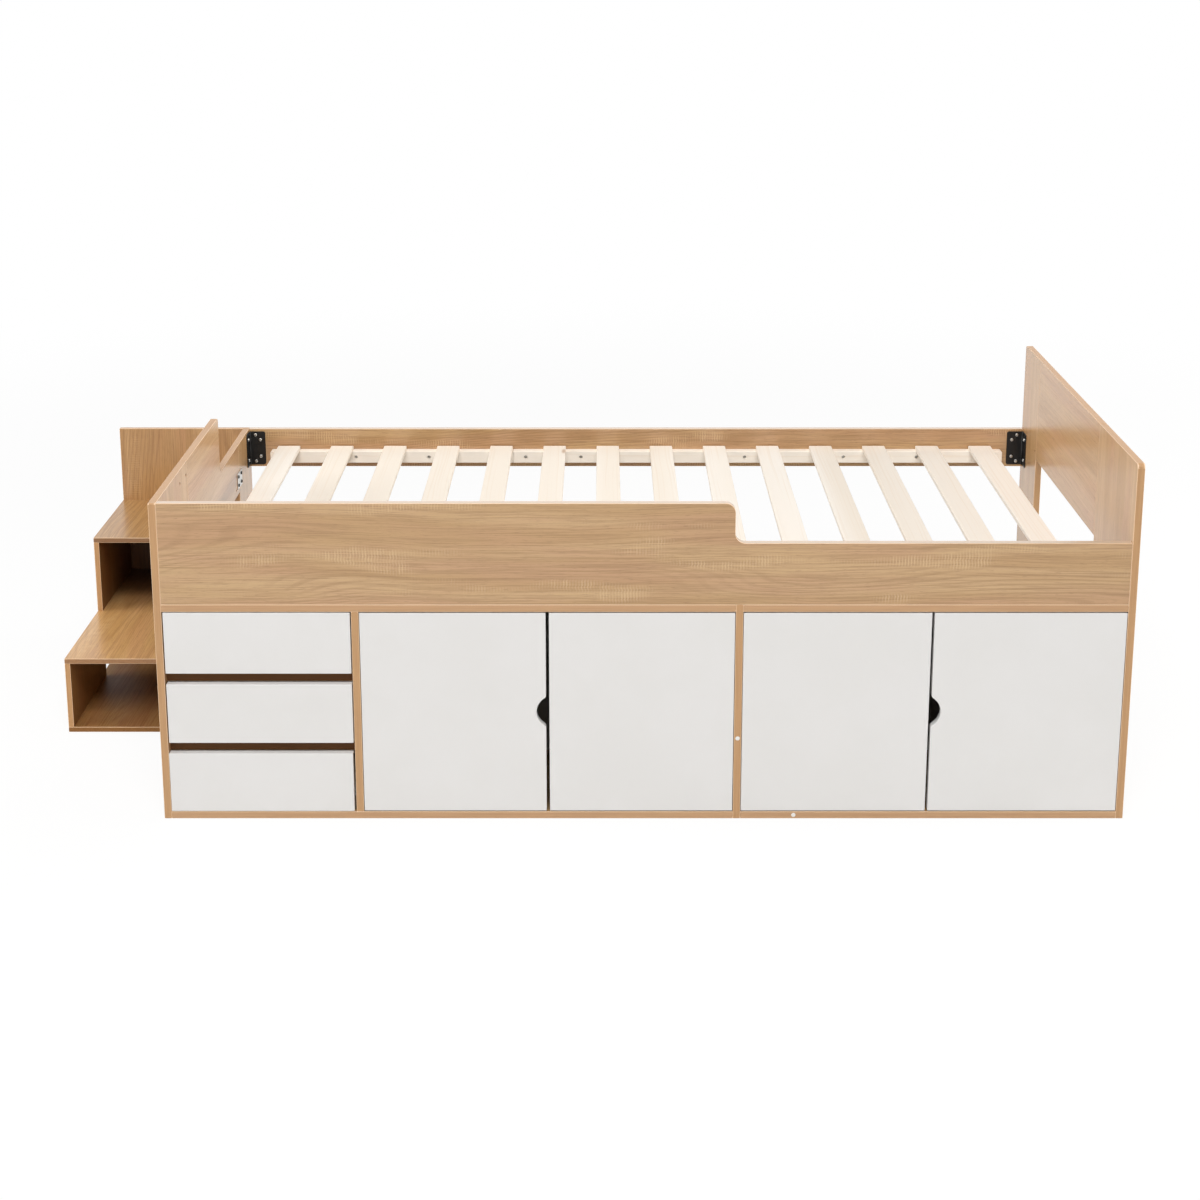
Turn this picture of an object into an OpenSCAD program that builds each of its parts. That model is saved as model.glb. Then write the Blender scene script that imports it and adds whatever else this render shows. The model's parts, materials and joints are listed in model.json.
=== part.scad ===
// Low cabin bed for a single mattress, with drawers and cupboards under its front
// half and a stepped side unit at its left end. Millimetres, +Z up, front at -Y.
// Most modules draw in bed coordinates: X from the outer face of the left end,
// Y from the front plane, Z from the floor.

/* [Bed] */
// Length between the outer faces of the two ends
bed_len = 1940; // [1900:5:2200]
// Depth from the front plane to the back
bed_w = 940; // [900:5:1500]
// Thickness of the coated boards
board_t = 15; // [13:1:18]
// Height of the top of the headboard
head_h = 750; // [700:5:900]
// Height of the headboard's middle panel above the cabinet's top
head_panel_rise = 45; // [0:5:60]
// How far the footboard's middle panel reaches below the cabinet's top
foot_panel_drop = 36; // [34:2:80]
// Distance from the back to the step in the footboard
foot_step = 354; // [250:2:450]
// Width of each rear post
post_w = 150; // [100:5:200]
// Radius of the free top corners of the ends
corner_r = 9; // [3:1:20]
// Radius of the left end's front top corner
front_corner_r = 3; // [1:1:9]

/* [Guard rail] */
// Height of the high stretch above the cabinet
guard_h = 210; // [180:5:280]
// Height of the low stretch above the cabinet
guard_low_h = 128; // [112:2:140]
// Length of the low stretch, measured to the outer face of the right end
guard_low_len = 793; // [500:5:1100]
// Radius of the two curves in the step
guard_r = 20; // [5:1:20]

/* [Cabinet] */
// Depth of the cabinet from the front plane
cabinet_d = 270; // [262:1:340]
// Height of the top of the cabinet
cabinet_h = 460; // [445:1:520]
// Clear width of the drawer bay
drawer_bay_w = 374.5; // [320:0.5:420]
// Clear width of the left cupboard
left_bay_w = 745.5; // [650:0.5:800]
// Thickness of the back sheets
back_t = 3; // [2:1:8]
// How far each back sheet stops short of an outer edge
back_inset = 2; // [1:1:6]

/* [Rear rail] */
// Height of the top of the rear rail and left rear post above the cabinet's top
rail_rise = 81; // [76:1:90]
// Height of the rear rail board
rail_h = 96; // [90:1:110]

/* [Slats] */
// Number of slats
slat_count = 14; // [8:1:18]
// Width of a slat
slat_w = 55; // [40:1:70]
// Thickness of a slat
slat_t = 10; // [8:1:20]
// Gap between a slat's end and the rail it runs to
slat_gap = 6; // [2:1:10]
// Distance from the left end to the first slat
slat_first = 72; // [40:1:90]
// Distance from the last slat to the right end
slat_last = 81; // [40:1:90]
// Thickness of the battens that carry the slats
batten_t = 20; // [15:1:30]
// Height of the battens
batten_h = 30; // [20:1:40]
// Distance from each end of the bed to the battens
batten_gap = 54; // [50:1:80]
// Length of the left batten of each pair
batten_left_len = 598; // [500:1:900]
// Radius of the corners at the battens' free ends
batten_end_r = 6; // [2:1:9]

/* [Drawers] */
// Thickness of the drawer and door fronts
front_t = 15; // [14:1:20]
// Height of the top drawer's front
top_front_h = 129; // [122:1:140]
// Finger gap above the two lower fronts
finger_gap = 23; // [12:1:26]
// Gap above the top drawer's front
front_gap_top = 2; // [1:0.5:3]
// Gap below the bottom drawer's front
front_gap_low = 1; // [0.5:0.5:2]
// Gap beside a drawer front
drawer_side_gap = 2.25; // [2.2:0.05:6]
// How far the bottom drawer's front is hung to the left
low_front_shift = 1.9; // [0:0.1:1.9]
// Thickness of the drawer sides and backs
side_t = 12; // [9:1:15]
// Height of the drawer sides
side_h = 90; // [60:1:95]
// Length of the drawer sides behind the front
side_len = 235; // [200:1:240]
// Thickness of the drawer bottoms
bottom_t = 3; // [3:0.5:4]
// Height of a drawer bottom above the lower edge of the sides
bottom_z = 8; // [6:1:20]
// Depth of the groove that holds a drawer bottom
groove_d = 5; // [3:1:6]
// Depth of the rails between the drawers
stretcher_d = 60; // [30:1:120]
// Height of a roller's axis above the lower edge of a drawer front
roller_z = 36; // [33:1:37]
// Radius of the space that a roller runs in
roller_r = 9; // [7:0.5:9]

/* [Doors] */
// Gap between a door and the panel that it is hinged to
hinge_gap = 1; // [0.5:0.5:2]
// Gap between the two left doors
left_meet = 6.5; // [3:0.5:10]
// Gap between the two right doors
right_meet = 5; // [3:0.5:10]
// How far the right doors meet to the left of the middle of their bay
right_meet_shift = 4; // [0:0.5:20]
// Gap above a door
door_gap_top = 2.5; // [1:0.5:6]
// Gap below a door
door_gap_low = 2; // [1:0.5:6]
// Radius of the finger notch in a door's edge
notch_r = 35; // [25:1:45]
// Depth of the finger notch
notch_d = 19; // [12:1:24]
// Height of the middle of the finger notch
notch_z = 232; // [180:2:280]
// Radius that eases the notch's corners
notch_ease = 8; // [2:1:12]
// Distance from a door's top or bottom to its hinge
hinge_inset = 90; // [60:1:140]
// Radius of the hinge cup's bore in the door
cup_r = 17.5; // [17.5:0.5:19]
// Depth of the hinge cup's bore
cup_depth = 12; // [12:0.5:12.5]
// Wood left between the cup's bore and the door's edge
cup_edge = 5; // [3.5:0.5:5]

/* [Side steps] */
// Width of the side unit, outside the bed's left end
step_w = 305; // [250:5:400]
// Depth of each tread
tread_d = 272; // [240:2:276]
// Gap from the bed's back to the unit's back
step_back_gap = 0; // [0:1:40]
// Height of the lower tread
low_tread_h = 175; // [140:1:200]
// Height of the upper tread
high_tread_h = 357; // [320:1:400]
// Height of the unit's back panel
step_back_h = 541; // [500:1:640]
// Thickness of the unit's boards
step_t = 12; // [9:1:18]

/* [Fixings] */
// Diameter of a cam disc
cam_d = 15; // [12:1:18]
// Distance from a joint to the middle of a cam disc
cam_inset = 24; // [20:1:34]
// Diameter of a cam's bolt
bolt_d = 6; // [5:0.5:7]
// Diameter of a joint dowel
dowel_d = 8; // [6:1:9]
// Length of a joint dowel
dowel_len = 34; // [25:1:50]
// Radius of a wood screw's head
screw_head_r = 4; // [3:0.5:5]
// Radius of a wood screw's shank
screw_r = 2; // [1.5:0.25:2.5]
// Thickness of the rail brackets
bracket_t = 2; // [1.5:0.5:4]
// Height of the rail brackets
bracket_h = 84; // [76:1:88]
// Width of a bracket's leaf on the rail
bracket_w = 40; // [36:1:48]
// Width of a bracket's leaf on the post
bracket_leaf = 35; // [30:1:60]
// Radius of the corners of a bracket's leaves
bracket_r = 5; // [1:1:6]
// Diameter of a round cover cap
cap_d = 9; // [6:1:12]

/* [Hidden] */
$fn = 48;

// Colours of the coated boards, the bare pine and the fixings
oak = [0.75, 0.60, 0.44];
white_board = [0.93, 0.92, 0.90];
pine = [0.96, 0.91, 0.82];
black_steel = [0.10, 0.10, 0.10];
white_steel = [0.90, 0.90, 0.88];
zinc = [0.72, 0.72, 0.70];
white_plastic = [0.95, 0.95, 0.95];

// Spare length that makes a cut run past a face
past = 1;
// Clearance between a fitting and its bore, and between parts that slide
fit_gap = 0.1;
slide_gap = 0.3;

// Planes across the bed's length
inner_x0 = board_t;
inner_x1 = bed_len - board_t;
drawer_div_x = inner_x0 + drawer_bay_w;
left_bay_x = drawer_div_x + board_t;
mid_div_x = left_bay_x + left_bay_w;
right_bay_x = mid_div_x + board_t;
right_bay_w = inner_x1 - right_bay_x;

// Planes across the bed's depth and height
post_y = bed_w - post_w;
bay_z0 = board_t;
bay_z1 = cabinet_h - board_t;
guard_top = cabinet_h + guard_h;
head_panel_z = cabinet_h + head_panel_rise;
foot_panel_z = cabinet_h - foot_panel_drop;
rail_top = cabinet_h + rail_rise;
rail_z = rail_top - rail_h;
slat_z = cabinet_h + batten_h;

// Drawers are counted from the bottom: 0 is the lowest
fronts_h = bay_z1 - bay_z0 - front_gap_low - front_gap_top - 2 * finger_gap;
low_front_h = (fronts_h - top_front_h) / 2;
function drawer_h(i) = i == 2 ? top_front_h : low_front_h;
function drawer_z(i) = bay_z0 + front_gap_low + i * (low_front_h + finger_gap);
function front_shift(i) = i == 0 ? low_front_shift : 0;

// Section of a roller runner, measured from the wall of the bay
runner_w = 12.7;
runner_skin = 1.2;
channel_w = 11;
channel_head = 3;
roller_w = 6;
roller_x = 3;
axle_r = 2;
lip_w = 11;
runner_foot = 11;
channel_front = 2;
channel_rear = 8;
channel_z = -roller_r - runner_skin;
wheel_r = roller_r - slide_gap;

// Doors are counted from the left. Odd ones are hinged on the left of their leaf
hinge_x = [left_bay_x, mid_div_x, right_bay_x, inner_x1];
hinge_flip = [0, 1, 0, 1];
left_leaf_w = (left_bay_w - 2 * hinge_gap - left_meet) / 2;
right_leaf_w = (right_bay_w - 2 * hinge_gap - right_meet) / 2;
leaf_w = [left_leaf_w, left_leaf_w, right_leaf_w - right_meet_shift, right_leaf_w + right_meet_shift];
has_notch = [1, 0, 0, 1];
door_z0 = bay_z0 + door_gap_low;
door_z1 = bay_z1 - door_gap_top;

// Concealed hinge, measured from the panel's face and the front plane
pivot_x = 10.5;
pivot_back = 3;
pivot_y = front_t + pivot_back;
pin_r = 1.2;
pin_gap = 0.05;
knuckle_r = 2.5;
link_reach = 27.2;
link_rise = 8;
link_bend_x = 9.6;
link_drop = 5.2;
link_t = 2.4;
link_h = 9;
cup_skin = 0.7;
cup_x = hinge_gap + cup_edge + cup_r;
wing_h = 54;
wing_w = 12;
wing_t = 1;
arm_h = 12;
arm_t = 1.2;
arm_end = 58;
arm_web_x = 2.5;
plate_h = 48;
plate_y = 34;

// Battens' screws, measured along the bed, with the depth that they are sunk to
batten_screws = [280, 460, 698, 834, 1237, 1480, 1660];
screw_sink = 5;

// Rows of cams and dowels
cam_rows_y = [60, 210];
guard_cams_z = [30, 100];
seam_rows_z = [30, 105];
cam_t = 12;

// Moves bed coordinates to the model's origin, under the middle of the whole
module in_bed() {
    translate([step_w / 2 - bed_len / 2, -bed_w / 2, 0]) children();
}

// Board between two opposite corners
module board(low, high) {
    translate(low) cube(high - low);
}

// Extrudes an X-Z outline back from the front plane
module front_outline(t) {
    translate([0, t, 0]) rotate([90, 0, 0]) linear_extrude(t) children();
}

// Extrudes a Y-Z outline towards +X
module side_outline(t) {
    rotate([90, 0, 90]) linear_extrude(t) children();
}

// Waste outside a rounded corner whose solid lies towards -X and -Y of the origin
module corner_waste(r) {
    difference() {
        translate([-r, -r]) square(r + past);
        translate([-r, -r]) circle(r);
    }
}

// Fixing places: each holds a point on the joint, and the turns that bring +X
// into the board with the fixing and +Z out of the face that its disc opens on
function cam_row(x, z, turns) = [for (y = cam_rows_y) [[x, y, z], turns]];
top_left_cams = concat(
    cam_row(inner_x0, bay_z1, [180, 0, 0]), cam_row(mid_div_x, bay_z1, [180, 0, 180]));
top_right_cams = concat(
    cam_row(right_bay_x, bay_z1, [180, 0, 0]), cam_row(inner_x1, bay_z1, [180, 0, 180]));
bottom_left_cams = concat(
    cam_row(inner_x0, bay_z0, [0, 0, 0]), cam_row(mid_div_x, bay_z0, [0, 0, 180]));
bottom_right_cams = concat(
    cam_row(right_bay_x, bay_z0, [0, 0, 0]), cam_row(inner_x1, bay_z0, [0, 0, 180]));
guard_cams = [
    for (dz = guard_cams_z, side = [0, 1])
        [[side == 0 ? inner_x0 : inner_x1, board_t, cabinet_h + dz],
            side == 0 ? [-90, 0, 0] : [90, 0, 180]]
];
cams = concat(top_left_cams, top_right_cams, bottom_left_cams, bottom_right_cams, guard_cams);

module at_cams(places) {
    for (p = places) translate(p[0]) rotate(p[1]) children();
}

// One cam disc with its slot, and the bolt that it pulls
slot_w = 1;
slot_depth = 1;

module cam_disc() {
    slot_len = cam_d / 2;
    difference() {
        translate([cam_inset, 0, -cam_t]) cylinder(h = cam_t, d = cam_d);
        translate([cam_inset - slot_len / 2, -slot_w / 2, -slot_depth])
            cube([slot_len, slot_w, slot_depth + past]);
    }
}

module cam_bolt(d, reach) {
    translate([-reach, 0, -board_t / 2]) rotate([0, 90, 0])
        cylinder(h = reach + cam_inset - cam_d / 2 - fit_gap, d = d);
}

bolt_reach = board_t / 2 - slide_gap;

// Bores for cams and their bolts, a little larger than the fittings
module cam_bores(places) {
    at_cams(places) {
        translate([cam_inset, 0, -cam_t - fit_gap])
            cylinder(h = cam_t + fit_gap + past, d = cam_d + 2 * fit_gap);
        translate([-bolt_reach - fit_gap, 0, -board_t / 2]) rotate([0, 90, 0])
            cylinder(h = bolt_reach + cam_inset, d = bolt_d + 2 * fit_gap);
    }
}

// Dowels lie along Y across the upright seams of the two ends
foot_seams_y = [cabinet_d, post_y];
foot_dowels = [
    for (y = foot_seams_y, dz = seam_rows_z)
        [board_t / 2, y, foot_panel_z + dz]
];
head_dowels = [
    for (y = foot_seams_y, dz = seam_rows_z)
        [bed_len - board_t / 2, y, head_panel_z + dz]
];

module dowels(places, gap) {
    for (p = places) translate(p) rotate([90, 0, 0])
        cylinder(h = dowel_len + 2 * gap, d = dowel_d + 2 * gap, center = true);
}

// Blind pilot holes in the inner faces of the ends: two in the left gable, one in
// each rear post and one in the footboard panel, below its plate
pilot_y = [205, 260];
pilot_z = 642;
pilot_r = 3.5;
pilot_depth = 8;
post_pilot_r = 2.5;
post_pilot_in = 18;
post_pilot_drop = 20;
post_pilot_depth = 3;
panel_pilot_in = 37;
panel_pilot_rise = 16;

module pilot_hole(y, z, depth, r) {
    translate([inner_x0 - depth, y, z]) rotate([0, 90, 0]) cylinder(h = depth + past, r = r);
}

module post_pilot() {
    pilot_hole(post_y + post_pilot_in, rail_top - post_pilot_drop, post_pilot_depth, post_pilot_r);
}

// Ends of the bed
module left_gable() {
    color(oak) in_bed() difference() {
        side_outline(board_t) difference() {
            square([cabinet_d, guard_top]);
            translate([0, guard_top]) mirror([1, 0]) corner_waste(front_corner_r);
        }
        cam_bores(concat(top_left_cams, bottom_left_cams, guard_cams));
        dowels(foot_dowels, fit_gap);
        for (y = pilot_y) pilot_hole(y, pilot_z, pilot_depth, pilot_r);
    }
}

module right_gable() {
    color(oak) in_bed() difference() {
        translate([inner_x1, 0, 0]) side_outline(board_t) difference() {
            square([cabinet_d, head_h]);
            translate([0, head_h]) mirror([1, 0]) corner_waste(corner_r);
        }
        cam_bores(concat(top_right_cams, bottom_right_cams, guard_cams));
        dowels(head_dowels, fit_gap);
    }
}

module footboard_panel() {
    step_y = bed_w - foot_step;
    color(oak) in_bed() difference() {
        side_outline(board_t) difference() {
            translate([cabinet_d, foot_panel_z])
                square([post_y - cabinet_d, guard_top - foot_panel_z]);
            translate([step_y, rail_top]) square([foot_step, guard_top]);
            translate([step_y, guard_top]) corner_waste(corner_r);
        }
        dowels(foot_dowels, fit_gap);
        pilot_hole(post_y - panel_pilot_in, foot_panel_z + panel_pilot_rise, pilot_depth, pilot_r);
    }
}

module headboard_panel() {
    color(oak) in_bed() difference() {
        board([inner_x1, cabinet_d, head_panel_z], [bed_len, post_y, head_h]);
        dowels(head_dowels, fit_gap);
    }
}

module left_rear_post() {
    color(oak) in_bed() difference() {
        board([0, post_y, 0], [board_t, bed_w, rail_top]);
        dowels(foot_dowels, fit_gap);
        post_pilot();
    }
}

module right_rear_post() {
    color(oak) in_bed() difference() {
        translate([inner_x1, post_y, 0]) side_outline(board_t) difference() {
            square([post_w, head_h]);
            translate([post_w, head_h]) corner_waste(corner_r);
        }
        dowels(head_dowels, fit_gap);
        translate([bed_len, 0, 0]) mirror([1, 0, 0]) post_pilot();
    }
}

// Cabinet
cap_mid_z = 175;
cap_low_x = 108;
cap_t = 1;

module cap_places() {
    translate([mid_div_x + board_t / 2, 0, cap_mid_z]) children();
    translate([right_bay_x + cap_low_x, 0, board_t / 2]) children();
}

module cap_disc(gap) {
    rotate([-90, 0, 0]) cylinder(h = cap_t, d = cap_d + gap);
}

// Seat for a cover cap, which starts just ahead of the front plane
module cap_seats() {
    cap_places() translate([0, -past, 0]) rotate([-90, 0, 0])
        cylinder(h = cap_t + past, d = cap_d + 2 * fit_gap);
}

module mid_divider() {
    color(oak) in_bed() difference() {
        board([mid_div_x, 0, 0], [right_bay_x, cabinet_d, cabinet_h]);
        cam_bores(concat(top_left_cams, bottom_left_cams, top_right_cams, bottom_right_cams));
        cap_seats();
    }
}

module drawer_divider() {
    color(oak) in_bed() board([drawer_div_x, 0, bay_z0], [left_bay_x, cabinet_d, bay_z1]);
}

module cabinet_board(x0, x1, z, places) {
    difference() {
        board([x0, 0, z], [x1, cabinet_d, z + board_t]);
        cam_bores(places);
    }
}

module cabinet_top_left() {
    color(oak) in_bed() cabinet_board(inner_x0, mid_div_x, bay_z1, top_left_cams);
}

module cabinet_top_right() {
    color(oak) in_bed() cabinet_board(right_bay_x, inner_x1, bay_z1, top_right_cams);
}

module cabinet_bottom_left() {
    color(oak) in_bed() cabinet_board(inner_x0, mid_div_x, 0, bottom_left_cams);
}

module cabinet_bottom_right() {
    color(oak) in_bed() difference() {
        cabinet_board(right_bay_x, inner_x1, 0, bottom_right_cams);
        cap_seats();
    }
}

module cabinet_backs() {
    seam_x = mid_div_x + board_t / 2;
    z0 = back_inset;
    z1 = cabinet_h - back_inset;
    y1 = cabinet_d + back_t;
    color(white_board) in_bed() {
        board([inner_x0, cabinet_d, z0], [seam_x - fit_gap, y1, z1]);
        board([seam_x + fit_gap, cabinet_d, z0], [inner_x1, y1, z1]);
    }
}

// Rails
module guard_profile() {
    step_x = bed_len - guard_low_len;
    low_top = cabinet_h + guard_low_h;
    difference() {
        translate([inner_x0, cabinet_h]) square([step_x - inner_x0, guard_h]);
        translate([step_x, guard_top]) corner_waste(guard_r);
    }
    translate([step_x, cabinet_h]) square([inner_x1 - step_x, guard_low_h]);
    translate([step_x, low_top]) difference() {
        square(guard_r);
        translate([guard_r, guard_r]) circle(guard_r);
    }
}

module front_guard_rail() {
    color(oak) in_bed() difference() {
        front_outline(board_t) guard_profile();
        cam_bores(guard_cams);
    }
}

module rear_rail() {
    color(oak) in_bed() board([inner_x0, bed_w - board_t, rail_z], [inner_x1, bed_w, rail_top]);
}

// Slats and the battens that carry them
batten_x0 = batten_gap + inner_x0;
batten_joint = batten_x0 + batten_left_len;

// Batten along +X whose far end is free and has rounded corners
module batten(length) {
    front_outline(batten_t) difference() {
        square([length, batten_h]);
        translate([length, batten_h]) corner_waste(batten_end_r);
        translate([length, 0]) mirror([0, 1]) corner_waste(batten_end_r);
    }
}

// The two battens of the front rail, with the sunk seats of their screws
module batten_pair() {
    translate([0, board_t, 0]) difference() {
        translate([0, 0, cabinet_h]) {
            translate([batten_joint - fit_gap, 0, 0]) mirror([1, 0, 0])
                batten(batten_left_len - fit_gap);
            translate([batten_joint + fit_gap, 0, 0])
                batten(inner_x1 - batten_gap - batten_joint - fit_gap);
        }
        at_batten_screws() translate([0, 0, -screw_sink])
            cylinder(h = screw_sink + past, r = screw_head_r + slide_gap);
    }
}

// Screw places on the front battens, with +Z out of the batten
module at_batten_screws() {
    for (x = batten_screws) translate([x, batten_t, cabinet_h + batten_h / 2])
        rotate([-90, 0, 0]) children();
}

// Repeats what belongs to the front rail at the rear rail
module at_both_rails() {
    children();
    translate([0, bed_w, 0]) mirror([0, 1, 0]) children();
}

module slat_battens() {
    color(pine) in_bed() at_both_rails() batten_pair();
}

module slats() {
    run = inner_x1 - inner_x0 - slat_first - slat_last - slat_w;
    pitch = run / (slat_count - 1);
    y0 = board_t + slat_gap;
    y1 = bed_w - board_t - slat_gap;
    color(pine) in_bed() for (i = [0:slat_count - 1]) {
        x = inner_x0 + slat_first + i * pitch;
        board([x, y0, slat_z], [x + slat_w, y1, slat_z + slat_t]);
    }
}

// Brackets in the two rear corners
bracket_z = rail_top - rail_h / 2;
rail_leaf_holes = [[16, 33.5], [28, 21.3], [28, -21.3], [16, -33.5]];
post_leaf_holes = [26, -26];
post_slot_y = 20;

// Draws in corner coordinates: X from the post, Y from the rail towards the front
module at_corners() {
    rail_y = bed_w - board_t;
    translate([inner_x0, rail_y, bracket_z]) children();
    translate([inner_x1, rail_y, bracket_z]) mirror([1, 0, 0]) children();
}

// Outline of a leaf, from the bend to its free edge
module leaf_outline(width) {
    difference() {
        translate([0, -bracket_h / 2]) square([width, bracket_h]);
        for (side = [0, 1]) mirror([0, side]) translate([width, bracket_h / 2])
            corner_waste(bracket_r);
    }
}

module rail_brackets() {
    color(black_steel) in_bed() at_corners() difference() {
        union() {
            translate([0, -bracket_t, 0]) front_outline(bracket_t) leaf_outline(bracket_w);
            side_outline(bracket_t) mirror([1, 0]) leaf_outline(bracket_leaf);
        }
        for (h = rail_leaf_holes) translate([h[0], past, h[1]]) rotate([90, 0, 0])
            cylinder(h = bracket_t + 2 * past, r = screw_r + slide_gap);
        for (z = post_leaf_holes) translate([-past, -post_slot_y, z]) rotate([0, 90, 0])
            cylinder(h = bracket_t + 2 * past, r = screw_r + slide_gap);
    }
}

// Flat plate across the footboard's rear seam, on the inner face
plate_t = 1.5;
plate_len = 50;
plate_tall = 38;
plate_rise = 33;
plate_z = foot_panel_z + plate_rise;
plate_hole_y = 16;
plate_hole_z = 10.5;

module at_plate_holes() {
    for (dy = [-plate_hole_y, plate_hole_y], dz = [-plate_hole_z, plate_hole_z])
        translate([inner_x0, post_y + dy, plate_z + dz]) children();
}

module seam_plate() {
    color(zinc) in_bed() difference() {
        translate([inner_x0, post_y - plate_len / 2, plate_z - plate_tall / 2])
            cube([plate_t, plate_len, plate_tall]);
        at_plate_holes() rotate([0, 90, 0])
            translate([0, 0, -past]) cylinder(h = plate_t + 2 * past, r = screw_r + slide_gap);
    }
}

// Wood screw along +Z, with its head's underside at the origin
head_t = 2.2;
bite_share = 2 / 3;

module wood_screw(len) {
    translate([0, 0, -head_t]) cylinder(h = head_t, r = screw_head_r);
    cylinder(h = len, r = screw_r);
}

module wood_screws() {
    short = board_t * bite_share;
    long = batten_t - screw_sink + short;
    color(zinc) in_bed() {
        at_both_rails() translate([0, board_t, 0]) at_batten_screws()
            translate([0, 0, -screw_sink]) mirror([0, 0, 1]) wood_screw(long);
        at_corners() {
            for (h = rail_leaf_holes) translate([h[0], -bracket_t, h[1]]) rotate([-90, 0, 0])
                wood_screw(short + bracket_t);
            for (z = post_leaf_holes) translate([bracket_t, -post_slot_y, z]) rotate([0, -90, 0])
                wood_screw(short + bracket_t);
        }
        at_plate_holes() translate([plate_t, 0, 0]) rotate([0, -90, 0]) wood_screw(short + plate_t);
    }
}

module cam_fittings() {
    color(zinc) in_bed() at_cams(cams) {
        cam_disc();
        cam_bolt(bolt_d, bolt_reach);
    }
}

module joint_dowels() {
    color(pine) in_bed() dowels(concat(foot_dowels, head_dowels), 0);
}

module cover_caps() {
    color(white_plastic) in_bed() cap_places() cap_disc(0);
}

// Drawer bay
module drawer_stretchers() {
    y0 = front_t + channel_front;
    color(oak) in_bed() for (i = [0, 1]) {
        z0 = drawer_z(i) + drawer_h(i);
        board([inner_x0, y0, z0], [drawer_div_x, y0 + stretcher_d, z0 + finger_gap]);
    }
}

// Draws a piece at both walls of the bay, at the roller axis of drawer i
module at_runners(i) {
    z = drawer_z(i) + roller_z;
    translate([inner_x0, front_t, z]) children();
    translate([drawer_div_x, front_t, z]) mirror([1, 0, 0]) children();
}

module roller(y) {
    translate([roller_x, y, 0]) rotate([0, 90, 0]) cylinder(h = roller_w, r = wheel_r);
}

module axle(y, x0, x1) {
    translate([x0, y, 0]) rotate([0, 90, 0]) cylinder(h = x1 - x0, r = axle_r);
}

roller_margin = 1;
front_roller_y = channel_front + wheel_r + roller_margin;
rear_roller_y = side_len - wheel_r - roller_margin;

// Channel on the bay's wall, with the roller that carries the drawer
module drawer_channels() {
    len = side_len + channel_rear;
    low = channel_z;
    high = roller_r + runner_skin + channel_head;
    color(white_steel) in_bed() for (i = [0:2]) at_runners(i) {
        board([0, channel_front, low], [runner_skin, len, high]);
        board([0, channel_front, low], [channel_w, len, low + runner_skin]);
        board([0, channel_front, high - runner_skin], [channel_w, len, high]);
        roller(front_roller_y);
        axle(front_roller_y, 0, roller_x + roller_w);
    }
}

// Rail under a drawer's side, with the roller that runs in the channel
module drawer_runners(i) {
    web = runner_w - runner_skin;
    foot = -runner_foot;
    color(white_steel) in_bed() at_runners(i) {
        board([web, 0, foot - runner_skin], [runner_w, side_len, roller_r + runner_skin]);
        board([roller_x, 0, roller_r], [runner_w, side_len, roller_r + runner_skin]);
        board([web, 0, foot - runner_skin], [runner_w + lip_w, side_len, foot]);
        roller(rear_roller_y);
        axle(rear_roller_y, roller_x, runner_w);
    }
}

// Drawers
function box_z(i) = drawer_z(i) + roller_z - runner_foot;
box_x0 = inner_x0 + runner_w;
box_x1 = drawer_div_x - runner_w;
box_y1 = front_t + side_len;

// Space that a drawer's bottom slides into, cut from what holds it
module bottom_groove(i) {
    z = box_z(i) + bottom_z;
    x0 = box_x0 + side_t - groove_d;
    x1 = box_x1 - side_t + groove_d;
    board([x0, front_t - groove_d, z], [x1, box_y1 + past, z + bottom_t + fit_gap]);
}

module drawer_front(i) {
    x = inner_x0 + drawer_side_gap - front_shift(i);
    width = drawer_bay_w - 2 * drawer_side_gap;
    color(white_board) in_bed() difference() {
        translate([x, 0, drawer_z(i)]) cube([width, front_t, drawer_h(i)]);
        bottom_groove(i);
    }
}

module drawer_sides(i) {
    z = box_z(i);
    color(white_board) in_bed() difference() {
        union() {
            board([box_x0, front_t, z], [box_x0 + side_t, box_y1, z + side_h]);
            board([box_x1 - side_t, front_t, z], [box_x1, box_y1, z + side_h]);
        }
        bottom_groove(i);
    }
}

module drawer_back(i) {
    z = box_z(i) + bottom_z + bottom_t + fit_gap;
    color(white_board) in_bed()
        board([box_x0 + side_t, box_y1 - side_t, z], [box_x1 - side_t, box_y1, box_z(i) + side_h]);
}

module drawer_bottom(i) {
    z = box_z(i) + bottom_z;
    x0 = box_x0 + side_t - groove_d + fit_gap;
    x1 = box_x1 - side_t + groove_d - fit_gap;
    color(white_board) in_bed()
        board([x0, front_t - groove_d + fit_gap, z], [x1, box_y1, z + bottom_t]);
}

// Doors: draws in hinge coordinates, with X from the panel that the door hangs on
module at_hinge(i) {
    translate([hinge_x[i], 0, 0]) mirror([hinge_flip[i], 0, 0]) children();
}

module at_hinge_heights() {
    for (z = [door_z0 + hinge_inset, door_z1 - hinge_inset]) translate([0, 0, z]) children();
}

// Waste of a finger notch in an edge along Y, with the door towards -X
module notch_waste() {
    out = notch_r - notch_d;
    ease_y = sqrt((notch_r + notch_ease) ^ 2 - (out + notch_ease) ^ 2);
    share = notch_ease / (notch_r + notch_ease);
    touch_x = -notch_ease + (out + notch_ease) * share;
    touch_y = ease_y * (1 - share);
    translate([out, 0]) circle(notch_r);
    difference() {
        polygon([
            [past, -ease_y], [0, -ease_y], [touch_x, -touch_y],
            [touch_x, touch_y], [0, ease_y], [past, ease_y]
        ]);
        for (side = [-1, 1]) translate([-notch_ease, side * ease_y]) circle(notch_ease);
    }
}

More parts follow.
